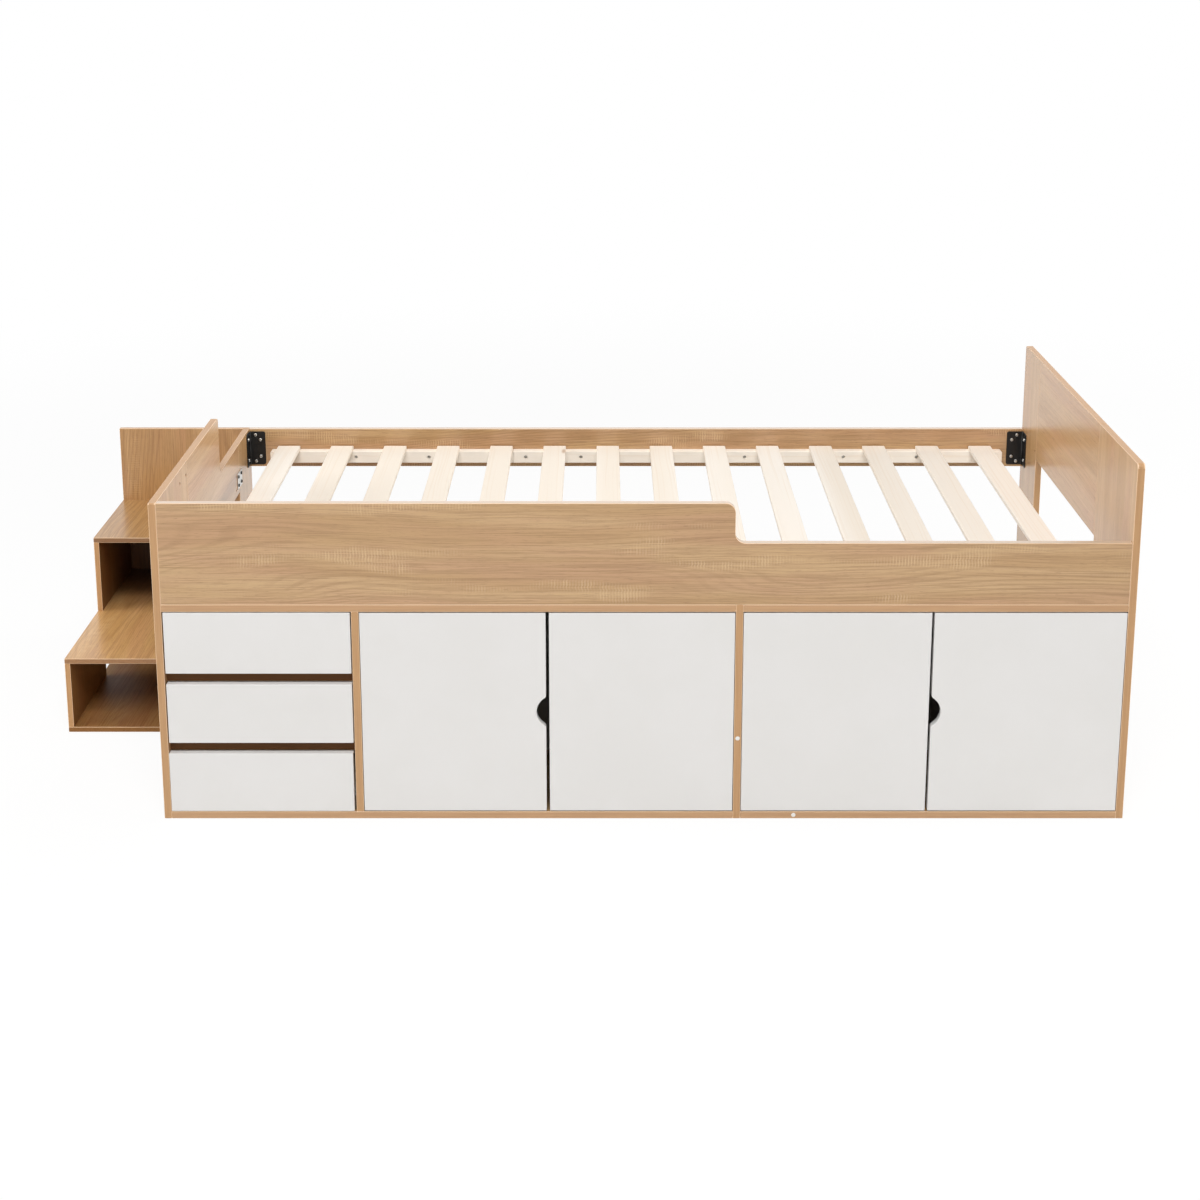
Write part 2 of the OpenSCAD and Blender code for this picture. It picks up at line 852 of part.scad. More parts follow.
module door(i) {
    edge = hinge_gap + leaf_w[i];
    color(white_board) in_bed() at_hinge(i) difference() {
        board([hinge_gap, 0, door_z0], [edge, front_t, door_z1]);
        if (has_notch[i] == 1) translate([edge, -past, notch_z])
            front_outline(front_t + 2 * past) notch_waste();
        at_hinge_heights() translate([cup_x, front_t + past, 0]) rotate([90, 0, 0])
            cylinder(h = cup_depth + past, r = cup_r);
    }
}

// Cup pressed into the door's back, with two screw wings
module hinge_cups(i) {
    body_r = cup_r - fit_gap;
    color(zinc) in_bed() at_hinge(i) at_hinge_heights() translate([cup_x, front_t, 0]) {
        rotate([90, 0, 0]) difference() {
            cylinder(h = cup_depth, r = body_r);
            translate([0, 0, -past])
                cylinder(h = cup_depth - cup_skin + past, r = body_r - cup_skin);
        }
        difference() {
            board([-wing_w / 2, 0, -wing_h / 2], [wing_w / 2, wing_t, wing_h / 2]);
            translate([0, wing_t + past, 0]) rotate([90, 0, 0])
                cylinder(h = wing_t + 2 * past, r = body_r - cup_skin);
        }
    }
}

// Bent link from the arm's pin, over the door's edge and into the cup
module link_bar(a, b) {
    length = norm(b - a);
    turn = atan2(b[1] - a[1], b[0] - a[0]);
    translate(a) rotate(turn) translate([0, -link_t / 2]) square([length, link_t]);
    translate(b) circle(link_t / 2);
}

module hinge_links(i) {
    bend_a = [link_bend_x, link_rise];
    bend_b = [link_reach, link_rise];
    tip = [link_reach, -link_drop];
    color(zinc) in_bed() at_hinge(i) at_hinge_heights()
        translate([pivot_x, pivot_y, -link_h / 2]) linear_extrude(link_h) difference() {
            union() {
                circle(knuckle_r);
                link_bar([0, 0], bend_a);
                link_bar(bend_a, bend_b);
                link_bar(bend_b, tip);
            }
            circle(pin_r + pin_gap);
        }
}

// Arm and mounting plate on the panel, with the pin that the link turns on
module hinge_arms() {
    cheek = [
        [arm_web_x, arm_end], [arm_web_x, pivot_y + knuckle_r + link_rise],
        [pivot_x - knuckle_r, pivot_y - knuckle_r + fit_gap],
        [pivot_x + knuckle_r, pivot_y - knuckle_r + fit_gap],
        [pivot_x + knuckle_r, pivot_y + knuckle_r], [pivot_x - knuckle_r, arm_end]
    ];
    color(zinc) in_bed() for (i = [0:3]) at_hinge(i) at_hinge_heights() {
        board([0, plate_y, -plate_h / 2], [arm_web_x, arm_end, plate_h / 2]);
        board([arm_web_x, plate_y, -arm_h / 2], [arm_web_x + arm_t, arm_end, arm_h / 2]);
        for (z = [-arm_h / 2, arm_h / 2 - arm_t]) translate([0, 0, z])
            linear_extrude(arm_t) polygon(cheek);
        translate([pivot_x, pivot_y, -arm_h / 2]) cylinder(h = arm_h, r = pin_r);
    }
}

// Side steps, outside the left end. X runs from the unit's outer face
step_depth = 2 * tread_d;
step_front = bed_w - step_back_gap - step_t - step_depth;

module in_steps() {
    in_bed() translate([-step_w, step_front, 0]) children();
}

module step_bottom_board() {
    color(oak) in_steps() cube([step_w, step_depth, step_t]);
}

module step_lower_side() {
    color(oak) in_steps() board([0, 0, step_t], [step_t, tread_d, low_tread_h - step_t]);
}

module step_lower_tread() {
    color(oak) in_steps() translate([0, 0, low_tread_h - step_t]) cube([step_w, step_depth, step_t]);
}

module step_upper_side() {
    color(oak) in_steps()
        board([0, tread_d, low_tread_h], [step_t, step_depth, high_tread_h - step_t]);
}

module step_upper_tread() {
    color(oak) in_steps()
        translate([0, tread_d, high_tread_h - step_t]) cube([step_w, tread_d, step_t]);
}

module step_back_panel() {
    color(oak) in_steps() translate([0, step_depth, 0]) cube([step_w, step_t, step_back_h]);
}

module step_inner_sides() {
    x0 = step_w - step_t;
    color(oak) in_steps() {
        board([x0, 0, step_t], [step_w, step_depth, low_tread_h - step_t]);
        board([x0, tread_d, low_tread_h], [step_w, step_depth, high_tread_h - step_t]);
    }
}

left_gable();
right_gable();
mid_divider();
drawer_divider();
cabinet_top_left();
cabinet_top_right();
cabinet_bottom_left();
cabinet_bottom_right();
cabinet_backs();
front_guard_rail();
rear_rail();
left_rear_post();
right_rear_post();
footboard_panel();
headboard_panel();
slat_battens();
slats();
rail_brackets();
seam_plate();
wood_screws();
cam_fittings();
joint_dowels();
cover_caps();
drawer_stretchers();
drawer_channels();
hinge_arms();
step_bottom_board();
step_lower_side();
step_lower_tread();
step_upper_side();
step_upper_tread();
step_back_panel();
step_inner_sides();
drawer_front(2);  // drawer_1_front
drawer_sides(2);  // drawer_1_sides
drawer_back(2);  // drawer_1_back
drawer_bottom(2);  // drawer_1_bottom
drawer_runners(2);  // drawer_1_runners
drawer_front(1);  // drawer_2_front
drawer_sides(1);  // drawer_2_sides
drawer_back(1);  // drawer_2_back
drawer_bottom(1);  // drawer_2_bottom
drawer_runners(1);  // drawer_2_runners
drawer_front(0);  // drawer_3_front
drawer_sides(0);  // drawer_3_sides
drawer_back(0);  // drawer_3_back
drawer_bottom(0);  // drawer_3_bottom
drawer_runners(0);  // drawer_3_runners
door(0);  // door_1
hinge_cups(0);  // door_1_hinge_cups
hinge_links(0);  // door_1_hinge_links
door(1);  // door_2
hinge_cups(1);  // door_2_hinge_cups
hinge_links(1);  // door_2_hinge_links
door(2);  // door_3
hinge_cups(2);  // door_3_hinge_cups
hinge_links(2);  // door_3_hinge_links
door(3);  // door_4
hinge_cups(3);  // door_4_hinge_cups
hinge_links(3);  // door_4_hinge_links
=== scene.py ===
"""Looks of the storage bed frame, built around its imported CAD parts."""

import json
import math
import random

import bmesh
import bpy
from mathutils import Matrix, Vector


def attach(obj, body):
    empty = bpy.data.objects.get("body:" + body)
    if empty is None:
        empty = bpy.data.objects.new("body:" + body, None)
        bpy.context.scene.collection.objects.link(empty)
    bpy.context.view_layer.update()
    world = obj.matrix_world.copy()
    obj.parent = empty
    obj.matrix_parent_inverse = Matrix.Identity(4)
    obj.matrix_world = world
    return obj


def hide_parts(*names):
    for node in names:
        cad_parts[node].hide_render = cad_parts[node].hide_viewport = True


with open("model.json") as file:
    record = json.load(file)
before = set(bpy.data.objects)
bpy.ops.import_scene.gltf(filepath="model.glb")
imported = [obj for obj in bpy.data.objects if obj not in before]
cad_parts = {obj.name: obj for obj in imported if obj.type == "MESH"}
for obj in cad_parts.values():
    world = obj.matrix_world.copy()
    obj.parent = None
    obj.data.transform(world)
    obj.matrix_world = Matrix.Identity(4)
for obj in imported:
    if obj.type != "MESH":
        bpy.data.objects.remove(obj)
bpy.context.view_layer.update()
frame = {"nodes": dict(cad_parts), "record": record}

X, Y, Z = 0, 1, 2

# Boards: the axis that the grain runs along and the axis of the board's thickness
BOARDS = {
    "left_gable": (Z, X), "right_gable": (Z, X), "mid_divider": (Z, X), "drawer_divider": (Z, X),
    "left_rear_post": (Z, X), "right_rear_post": (Z, X),
    "footboard_panel": (Y, X), "headboard_panel": (Y, X),
    "front_guard_rail": (X, Y), "rear_rail": (X, Y),
    "cabinet_top_left": (X, Z), "cabinet_top_right": (X, Z),
    "cabinet_bottom_left": (X, Z), "cabinet_bottom_right": (X, Z), "drawer_stretchers": (X, Z),
    "step_bottom_board": (Y, Z), "step_lower_tread": (Y, Z), "step_upper_tread": (Y, Z),
    "step_lower_side": (Z, X), "step_upper_side": (Z, X), "step_inner_sides": (Z, X),
    "step_back_panel": (Z, Y),
}
DRAWERS = ("drawer_1", "drawer_2", "drawer_3")
DOORS = ("door_1", "door_2", "door_3", "door_4")

# Rounding of the pieces' edges, in metres
BAND_ROUND = 0.0009
FRONT_ROUND = 0.0012
SLAT_ROUND = 0.0015
STEEL_ROUND = 0.0004
ROUND_STEPS, FINE_STEPS = 3, 2

# Reading of the meshes: angles of sharp and of smooth edges, angle of faces that are merged, distance of
# points that touch, share of a side that an outline covers, and cosine of a face that is square to an axis
SHARP = math.radians(60)
SMOOTH = math.radians(40)
COPLANAR = math.radians(0.3)
TOUCH = 1e-5
WHOLE_SIDE = 0.6
AXIS_ALIGNED = 0.9999
# Corners of a turned ring
TURN_STEPS = 28

# Cross recess of the screws and cams: reach, half width and depth of an arm as shares of a radius, and the
# size of its bottom as a share of its top
CROSS = (0.52, 0.13, 0.40)
CROSS_TAPER = 0.7

# Pan head: share of the height that its wall stands upright, and its dome as shares of radius and height
HEAD_WALL = 0.35
HEAD_DOME = ((0.97, 0.62), (0.88, 0.83), (0.74, 0.95), (0.60, 1.0))

# Screw, in metres: head, shank and thread. The thread's ridge runs between two shares of its pitch.
HEAD_R, HEAD_T = 0.0040, 0.0022
SHANK_R, CORE_R = 0.0020, 0.0015
THREAD_PITCH = 0.0018
THREAD_RIDGE = (0.45, 0.55)
POINT = 0.003
SCREW_SEED = 11

# Cam disc and its bolt. The bolt's waist is given as shares of its length and of its radius.
CAM_BEVEL = 0.0006
CAM_RECESS = 0.0004
BOLT_WAIST = (0.1, 0.14, 0.2, 0.3)
BOLT_NECK = 0.62
CAM_SEED = 5

# Cover cap: dome, its rings as shares of the radius, and eye
CAP_DROP = 0.00045
CAP_RINGS = (0.9, 0.7, 0.45)
CAP_EYE_R, CAP_EYE_DEPTH, CAP_EYE_TAPER = 0.0011, 0.0006, 0.8

# Bend between the leaves of an angle bracket
BRACKET_BEND = 0.0025
BEND_STEPS = 5

# Roller runners: start and end of a roller from the wall, radii, reach of rail and channel from the wall,
# width of the rail's lip, thickness of the sheet
ROLLER_X = (0.003, 0.009)
ROLLER_R, HUB_R, AXLE_R = 0.0087, 0.0042, 0.0020
RUNNER_W, CHANNEL_W, LIP_W, SHEET = 0.0127, 0.011, 0.011, 0.0012
# Heights over and under the rollers' axis
RAIL_ABOVE, RAIL_BELOW = 0.0102, 0.0122
CHANNEL_ABOVE, CHANNEL_BELOW = 0.0132, 0.0102
# How far a roller's axis lies from the bar's end, and how far its axle reaches past the roller
ROLLER_INSET, AXLE_PAST = 0.0097, 0.0008
# Rounding of the bars' edges as a share of the sheet
SHEET_ROUND = 0.25

# Roller: its rim as a share of the radius, the depth and the slope of its side grooves, the tread's rounding
RIM_SHARE = 0.9
GROOVE_DEPTH, HUB_SLOPE, TREAD_ROUND = 0.0008, 0.0004, 0.0006
# Rivet head of the roller's axle: height of its chamfer and the share of the radius on top
RIVET_CHAMFER, RIVET_TOP = 0.0003, 0.7

# Small screws on the hinges: how far they lie from the middle, and their heads' radius and height
PLATE_SCREWS = 0.016
WING_SCREWS = 0.022
SMALL_HEAD = (0.0034, 0.0014)
HINGE_SEED = 3

# Camera, set at the photograph's viewing angle
CAMERA_AT = (0.0675, -3.808, 1.832)
CAMERA_TILT = 11.99
CAMERA_LENS = 54.0
SENSOR_WIDTH = 36.0
CAMERA_SHIFT = (-0.0014, -0.27)

# Light: the dome's strength, and each soft box's place, aim, size and power
DOME_LEVEL = 0.20
SOFT_BOXES = {
    "key": ((-0.1, -4.8, 6.2), (0.0, 0.0, 0.3), (4.4, 3.4), 420),
    "back": ((0.0, 5.5, 2.8), (0.0, 0.0, 0.5), (6.5, 2.2), 25),
    "top": ((0.0, 0.2, 5.2), (0.0, 0.2, 0.0), (3.2, 2.2), 24),
    "right_fill": ((4.6, 0.4, 1.7), (-0.4, 0.1, 0.5), (2.4, 1.6), 130),
    "left_fill": ((-4.6, -0.6, 1.9), (0.6, 0.1, 0.5), (2.4, 1.6), 100),
}

# Floor: its width, the stretch over which it turns white, and the share of white under the object
FLOOR_SIZE = 60.0
FLOOR_FADE = (1.6, 4.5)
FLOOR_WHITE = 0.88


def linear(red, green, blue):
    """Colour of 0 to 255 a channel as the linear values that the shaders take."""
    out = []
    for c in (red / 255, green / 255, blue / 255):
        out.append(c / 12.92 if c <= 0.04045 else ((c + 0.055) / 1.055) ** 2.4)
    return (*out, 1.0)


class Shader:
    """A node material in the making, with a short call for each kind of node."""

    def __init__(self, name):
        self.material = bpy.data.materials.new(name)
        self.material.use_nodes = True
        self.nodes = self.material.node_tree.nodes
        self.links = self.material.node_tree.links
        self.nodes.clear()
        self.output = self.nodes.new("ShaderNodeOutputMaterial")
        self.places = self.nodes.new("ShaderNodeTexCoord")

    def put(self, socket, value):
        """Sets a socket to a constant or links it to another socket."""
        if isinstance(value, bpy.types.NodeSocket):
            self.links.new(value, socket)
        else:
            socket.default_value = value

    def add(self, kind, settings=None, **inputs):
        node = self.nodes.new("ShaderNode" + kind)
        for key, value in (settings or {}).items():
            setattr(node, key, value)
        for key, value in inputs.items():
            self.put(node.inputs[key.replace("_", " ")], value)
        return node

    def math(self, operation, a, b=0.0, c=0.0):
        node = self.add("Math", {"operation": operation})
        for socket, value in zip(node.inputs, (a, b, c)):
            self.put(socket, value)
        return node.outputs[0]

    def axes(self, output="Object"):
        """The three parts of the place, or of the normal, in the piece's own axes."""
        node = self.add("SeparateXYZ", Vector=self.places.outputs[output])
        return [node.outputs[i] for i in range(3)]

    def point(self, x, y, z):
        return self.add("CombineXYZ", X=x, Y=y, Z=z).outputs[0]

    def scaled(self, place, scales):
        """The point whose three parts are those of a place, each times its scale."""
        return self.point(*(self.math("MULTIPLY", part, scale) for part, scale in zip(place, scales)))

    def noise(self, vector, scale=1.0, detail=3.0, roughness=0.5):
        node = self.add("TexNoise", Vector=vector, Scale=scale, Detail=detail, Roughness=roughness)
        return node.outputs["Fac"]

    def fade(self, value, low, high, to_low=0.0, to_high=1.0):
        """Maps low..high smoothly to to_low..to_high."""
        node = self.add("MapRange", {"interpolation_type": "SMOOTHSTEP"})
        for socket, v in zip(node.inputs, (value, low, high, to_low, to_high)):
            self.put(socket, v)
        return node.outputs[0]

    def mix(self, share, first, second):
        node = self.add("Mix", {"data_type": "RGBA"})
        self.put(node.inputs["Factor"], share)
        self.put(node.inputs[6], first)
        self.put(node.inputs[7], second)
        return node.outputs[2]

    def times(self, colour, tint):
        node = self.add("Mix", {"data_type": "RGBA", "blend_type": "MULTIPLY"}, Factor=1.0)
        self.put(node.inputs[6], colour)
        self.put(node.inputs[7], tint)
        return node.outputs[2]

    def bump(self, height, depth):
        node = self.add("Bump", Height=height, Distance=depth, Strength=1.0)
        return node.outputs[0]

    def surface(self, colour, roughness, normal=None, metallic=0.0, specular=0.5, coat=0.0):
        shader = self.add("BsdfPrincipled", Base_Color=colour, Roughness=roughness, Metallic=metallic)
        shader.inputs["Specular IOR Level"].default_value = specular
        self.put(shader.inputs["Coat Weight"], coat)
        shader.inputs["Coat Roughness"].default_value = COAT_ROUGHNESS
        if normal is not None:
            self.put(shader.inputs["Normal"], normal)
        self.links.new(shader.outputs[0], self.output.inputs["Surface"])
        return self.material


# Materials
COAT_ROUGHNESS = 0.22
OAK_MID = linear(182, 144, 96)
OAK_LIGHT = linear(193, 157, 111)
OAK_DARK = linear(150, 112, 70)
OAK_PORE = linear(124, 88, 54)
OAK_PINK = linear(184, 139, 102)
# Painted highlight on the rounded rims of the boards
OAK_RIM_HIGHLIGHT = linear(228, 194, 158)
BAND_MID = linear(187, 144, 99)
BAND_DARK = linear(174, 130, 86)
OAK_SAW = linear(206, 173, 130)
OAK_ROUGH = (0.52, 0.44)
OAK_BUMP, FIBRE_RELIEF, PORE_RELIEF = 0.00010, 0.6, 0.5

# Slow sway of the grain: scales along, across and through the board, and its sideways reach in metres
SWAY_SCALES = (1.3, 3.0, 1.0)
SWAY_REACH = 0.05
# Noises of the oak print: scale along the grain, scale across it, detail and roughness
OAK_NOISES = {
    "broad": (1.5, 24.0, 2.0, 0.5),
    "patch": (2.0, 16.0, 2.0, 0.5),
    "strand": (3.2, 120.0, 2.0, 0.5),
    "fibre": (7.0, 480.0, 3.0, 0.6),
    "pore": (45.0, 900.0, 2.0, 0.55),
    "rings": (0.9, 5.5, 1.5, 0.4),
    "ring_share": (1.6, 9.0, 2.0, 0.5),
    "saw_share": (4.2, 17.0, 1.0, 0.5),
    "saw_gaps": (60.0, 30.0, 1.0, 0.5),
}
# Fades from those noises: the noise where each starts and ends, and its shares there
OAK_FADES = {
    "broad": (0.38, 0.62, 0.0, 1.0),
    "patch": (0.45, 0.66, 0.0, 0.55),
    "pore": (0.42, 0.30, 0.0, 0.45),
    "ring_share": (0.47, 0.62, 0.0, 1.0),
    "saw_share": (0.57, 0.70, 0.0, 1.0),
    "saw_gaps": (0.35, 0.65, 0.3, 1.0),
}
# The dark strands, fibres and rings go with the board's own strength of grain
STRAND_FADE, STRAND_SHARE = (0.50, 0.32), 0.26
FIBRE_FADE, FIBRE_SHARE = (0.52, 0.38), 0.52
RING_SHARE = 0.42
# Growth rings: how much the slow field and the place across the grain move them, and their pitch
RING_FIELD, RING_ACROSS, RING_PITCH = 26.0, 60.0, 8.5
# Saw marks: radians of ripple a metre, how far the strands push them, and where a ripple starts to show
SAW_PITCH, SAW_WANDER, SAW_START = 1050.0, 5.0, -0.5
# Edge band: scales of its fibre, and the fade between its two tones
BAND_SCALES = (6.0, 260.0, 260.0)
BAND_FADE = (0.60, 0.35, 0.0, 0.6)
# How square to the thickness a normal is on a face and on a rounded rim
ON_FACE, ON_RIM = 0.95, 0.10

# The stretch of a noise that fades one tone into another, and the one that fades two values of roughness
CLOUD_FADE, ROUGH_FADE = (0.35, 0.65), (0.3, 0.7)
# Plain materials: their colours, and how the roughness goes with the noise
FRONT_WHITE, FRONT_SHADE = linear(221, 219, 217), linear(218, 216, 213)
INNER_WHITE, INNER_SHADE = linear(222, 219, 213), linear(214, 211, 204)
BLACK, BLACK_DUST = linear(5, 4, 4), linear(12, 11, 10)
ZINC, BRIGHT_ZINC, ZINC_DULL = (206, 205, 201), (226, 225, 221), 0.84
PLASTIC, COATED_STEEL, PLASTIC_SHADE = (232, 231, 228), (222, 221, 216), 0.96
SMUDGE_SWING, PLASTIC_SWING = (-0.03, 0.05), (-0.04, 0.04)
BLACK_ROUGH, ZINC_ROUGH = (0.42, 0.55), (0.26, 0.40)
FLOOR_PAPER = linear(240, 240, 239)

# Look of a plain board: tints of the faces that look along the thickness axis and against it, tint of its
# edge bands, coat, specular level, and strengths of the grain and of the saw marks
PLAIN = (1.0, 1.0, 1.0, 1.0)
PLAIN_PRINT = {"plus": PLAIN, "minus": PLAIN, "band": PLAIN, "coat": 1.0, "specular": 0.5, "grain": 1.0,
               "saw": 0.75}
# What differs on upright boards across the bed, on the long rails, and on single boards: print and painted
# light
# Painted sheen: both faces of the upright boards are lightened to stand in for their grazing reflection
END_PAINTED_SHEEN = (1.20, 1.14, 1.06, 1.0)
END_PRINT_AND_PAINTED_SHEEN = {"plus": END_PAINTED_SHEEN, "minus": END_PAINTED_SHEEN, "coat": 0.8, "grain": 0.6, "saw": 0.25}
END_BAND_COAT = 0.25
# Painted sheen: the rails' edge bands are paled to stand in for the highlight on their tops
RAIL_PAINTED_SHEEN = {"band": (1.12, 1.42, 2.1, 1.0)}
PRINT_AND_PAINTED_LIGHT_BY_KIND = {X: END_PRINT_AND_PAINTED_SHEEN, Y: RAIL_PAINTED_SHEEN, Z: {}}
# Painted shade: the step back panel's front face is darkened and warmed
BACK_PAINTED_SHADE = (0.92, 0.84, 0.72, 1.0)
# Painted shade: the outer faces of the upright boards are darkened against the side lamps
OUTER_PAINTED_SHADE = (0.88, 0.86, 0.84, 1.0)
# Print and painted light of single boards: painted shade on the outer faces, the step unit and the stretchers
PRINT_AND_PAINTED_LIGHT_BY_BOARD = {
    "left_gable": {"minus": OUTER_PAINTED_SHADE}, "left_rear_post": {"minus": OUTER_PAINTED_SHADE},
    "footboard_panel": {"minus": OUTER_PAINTED_SHADE},
    "right_gable": {"plus": OUTER_PAINTED_SHADE}, "right_rear_post": {"plus": OUTER_PAINTED_SHADE},
    "headboard_panel": {"plus": OUTER_PAINTED_SHADE},
    "step_inner_sides": {"plus": PLAIN, "minus": PLAIN},
    # Painted shade: the step bottom board and its edge bands are darkened
    "step_bottom_board": {"plus": (0.60, 0.49, 0.37, 1.0), "band": (0.52, 0.44, 0.34, 1.0), "coat": 0.0,
                          "specular": 0.12},
    # Painted light on the lower tread's top, painted shade on the upper tread's top and on both treads' edge
    # bands
    "step_lower_tread": {"plus": (1.12, 1.05, 0.90, 1.0), "band": (0.66, 0.58, 0.48, 1.0), "coat": 0.5,
                         "specular": 0.4},
    "step_upper_tread": {"plus": (0.84, 0.76, 0.62, 1.0), "band": (0.48, 0.41, 0.32, 1.0), "coat": 0.5,
                         "specular": 0.4},
    # Painted shade on the inner faces of the step sides
    "step_lower_side": {"plus": (0.52, 0.41, 0.30, 1.0), "minus": OUTER_PAINTED_SHADE, "coat": 0.1, "specular": 0.2},
    "step_upper_side": {"plus": (0.40, 0.30, 0.21, 1.0), "minus": OUTER_PAINTED_SHADE, "coat": 0.1, "specular": 0.2},
    "step_back_panel": {"minus": BACK_PAINTED_SHADE, "band": PLAIN, "coat": 0.5, "saw": 0.25},
    # Painted shade on the edge bands of the stretchers behind the finger gaps
    "drawer_stretchers": {"band": (0.25, 0.18, 0.11, 1.0), "coat": 0.0, "specular": 0.15},
}
# Painted shade on faces inside the upper compartment: the face's side along the thickness, the axis, the
# stretch that it darkens along, as shares of the compartment from its front or from its top, and the tint at
# its end
PAINTED_SHADE_FACES = {
    "step_lower_tread": (1, Y, -0.08, 0.60, (0.15, 0.11, 0.08, 1.0)),
    "step_upper_side": (1, Y, 0.0, 0.9, (0.35, 0.30, 0.26, 1.0)),
    "step_back_panel": (-1, Z, -0.06, 0.0, (0.26, 0.20, 0.15, 1.0)),
}


def oak(name, along, thick, style, painted_shade=None):
    """Oak print on a coated board, with its plain edge band on the faces across the board, painted highlights
    on its rounded rims, and the painted sheen and shade of its style.
    """
    s = Shader(name)
    across = 3 - along - thick
    place = s.axes()
    u, v, w = place[along], place[across], place[thick]
    sway = s.noise(s.scaled((u, v, w), SWAY_SCALES), detail=2.0)
    bent = s.math("ADD", v, s.math("MULTIPLY", s.math("SUBTRACT", sway, 0.5), SWAY_REACH))

    def layer(key, sideways):
        length, width, detail, roughness = OAK_NOISES[key]
        return s.noise(s.scaled((u, sideways, w), (length, width, width)), 1.0, detail, roughness)

    def share(key, noise):
        return s.fade(noise, *OAK_FADES[key])

    strand, fibre, pore = (layer(key, bent) for key in ("strand", "fibre", "pore"))
    # Growth rings: contour lines of a slow field, so that they close into arches in places
    level = s.math("ADD", s.math("MULTIPLY", layer("rings", v), RING_FIELD),
                   s.math("MULTIPLY", bent, RING_ACROSS))
    ring = s.math("SINE", s.math("MULTIPLY", level, RING_PITCH))
    rings = s.math("MULTIPLY", s.fade(ring, 0.0, 1.0), share("ring_share", layer("ring_share", v)))
    # Saw marks: pale ripples across the grain, in soft patches
    ripple = s.math("SINE", s.math("ADD", s.math("MULTIPLY", u, SAW_PITCH),
                                   s.math("MULTIPLY", strand, SAW_WANDER)))
    patches = s.math("MULTIPLY", *(share(key, layer(key, v)) for key in ("saw_share", "saw_gaps")))
    saw = s.math("MULTIPLY", s.fade(ripple, SAW_START, 1.0), patches)

    tone = s.mix(share("broad", layer("broad", bent)), OAK_MID, OAK_LIGHT)
    tone = s.mix(share("patch", layer("patch", v)), tone, OAK_PINK)
    tone = s.mix(s.fade(strand, *STRAND_FADE, to_high=STRAND_SHARE * style["grain"]), tone, OAK_DARK)
    tone = s.mix(s.fade(fibre, *FIBRE_FADE, to_high=FIBRE_SHARE * style["grain"]), tone, OAK_DARK)
    tone = s.mix(s.math("MULTIPLY", rings, RING_SHARE * style["grain"]), tone, OAK_DARK)
    tone = s.mix(s.math("MULTIPLY", saw, style["saw"]), tone, OAK_SAW)
    tone = s.mix(share("pore", pore), tone, OAK_PORE)

    band_fibre = s.noise(s.scaled((u, v, w), BAND_SCALES), detail=3.0, roughness=0.6)
    band = s.mix(s.fade(band_fibre, *BAND_FADE), BAND_MID, BAND_DARK)
    normal = s.axes("Normal")
    square = s.math("ABSOLUTE", normal[thick])
    on_face = s.math("GREATER_THAN", square, ON_FACE)
    painted_rim_highlight = s.math("GREATER_THAN", square, ON_RIM)
    # Painted highlight on the rounded rims; the edge band takes the style's tint, painted sheen or shade
    band = s.mix(painted_rim_highlight, s.times(band, style["band"]), OAK_RIM_HIGHLIGHT)
    # Painted sheen and painted shade: each side of the board takes the style's tint
    face_tint = s.mix(s.math("GREATER_THAN", normal[thick], 0.0), style["minus"], style["plus"])
    face = s.times(tone, face_tint)
    # Painted shade that deepens into the compartment
    if painted_shade:
        side, axis, start, end, shade_tint = painted_shade
        inner = s.math("GREATER_THAN", s.math("MULTIPLY", normal[thick], side), 0.0)
        depth = s.math("MULTIPLY", s.fade(place[axis], start, end), inner)
        face = s.mix(depth, face, s.times(face, shade_tint))
    colour = s.mix(on_face, band, face)
    grain = s.math("ADD", s.math("MULTIPLY", fibre, FIBRE_RELIEF), s.math("MULTIPLY", pore, PORE_RELIEF))
    roughness = s.fade(fibre, *ROUGH_FADE, *OAK_ROUGH)
    coat = style["coat"]
    if thick == X:
        coat = s.math("MULTIPLY_ADD", on_face, coat - END_BAND_COAT, END_BAND_COAT)
    return s.surface(colour, roughness, s.bump(grain, OAK_BUMP), specular=style["specular"], coat=coat)


def coated_white(name, base, shade, roughness, dimple):
    """White coated board: a faint mottle and the fine dimples of pressed melamine."""
    s = Shader(name)
    place = s.places.outputs["Object"]
    mottle = s.noise(place, scale=6.0, roughness=0.6)
    grit = s.noise(place, scale=900.0, detail=2.0)
    colour = s.mix(s.fade(mottle, *CLOUD_FADE, to_high=0.5), base, shade)
    smudge = s.noise(place, scale=14.0, detail=4.0, roughness=0.65)
    uneven = s.fade(smudge, *CLOUD_FADE, *(roughness + swing for swing in SMUDGE_SWING))
    return s.surface(colour, uneven, s.bump(grit, dimple))


PINE_LIGHT = linear(249, 241, 230)
PINE_MID = linear(244, 233, 218)
PINE_LINE = linear(233, 213, 188)
PINE_KNOT = linear(176, 134, 92)
PINE_BUMP, LINE_RELIEF = 0.00012, 0.4
PINE_ROUGH = (0.56, 0.66)
# Scales along the slat and the two ways across it: sway, growth lines, fine fibre and the cells of the knots
PINE_SWAY = (2.0, 9.0, 1.0)
PINE_REACH = 0.02
PINE_LINES = (1.5, 210.0, 120.0)
PINE_FINE = (30.0, 1500.0, 1500.0)
PINE_CELLS = (2.6, 9.0, 1.0)
LINE_FADE = (0.52, 0.68, 0.0, 0.26)
KNOT_RADII = (0.075, 0.03)
KNOT_SHARE = 0.7
# How fast the tone changes from slat to slat
SLAT_TONES = 7.6


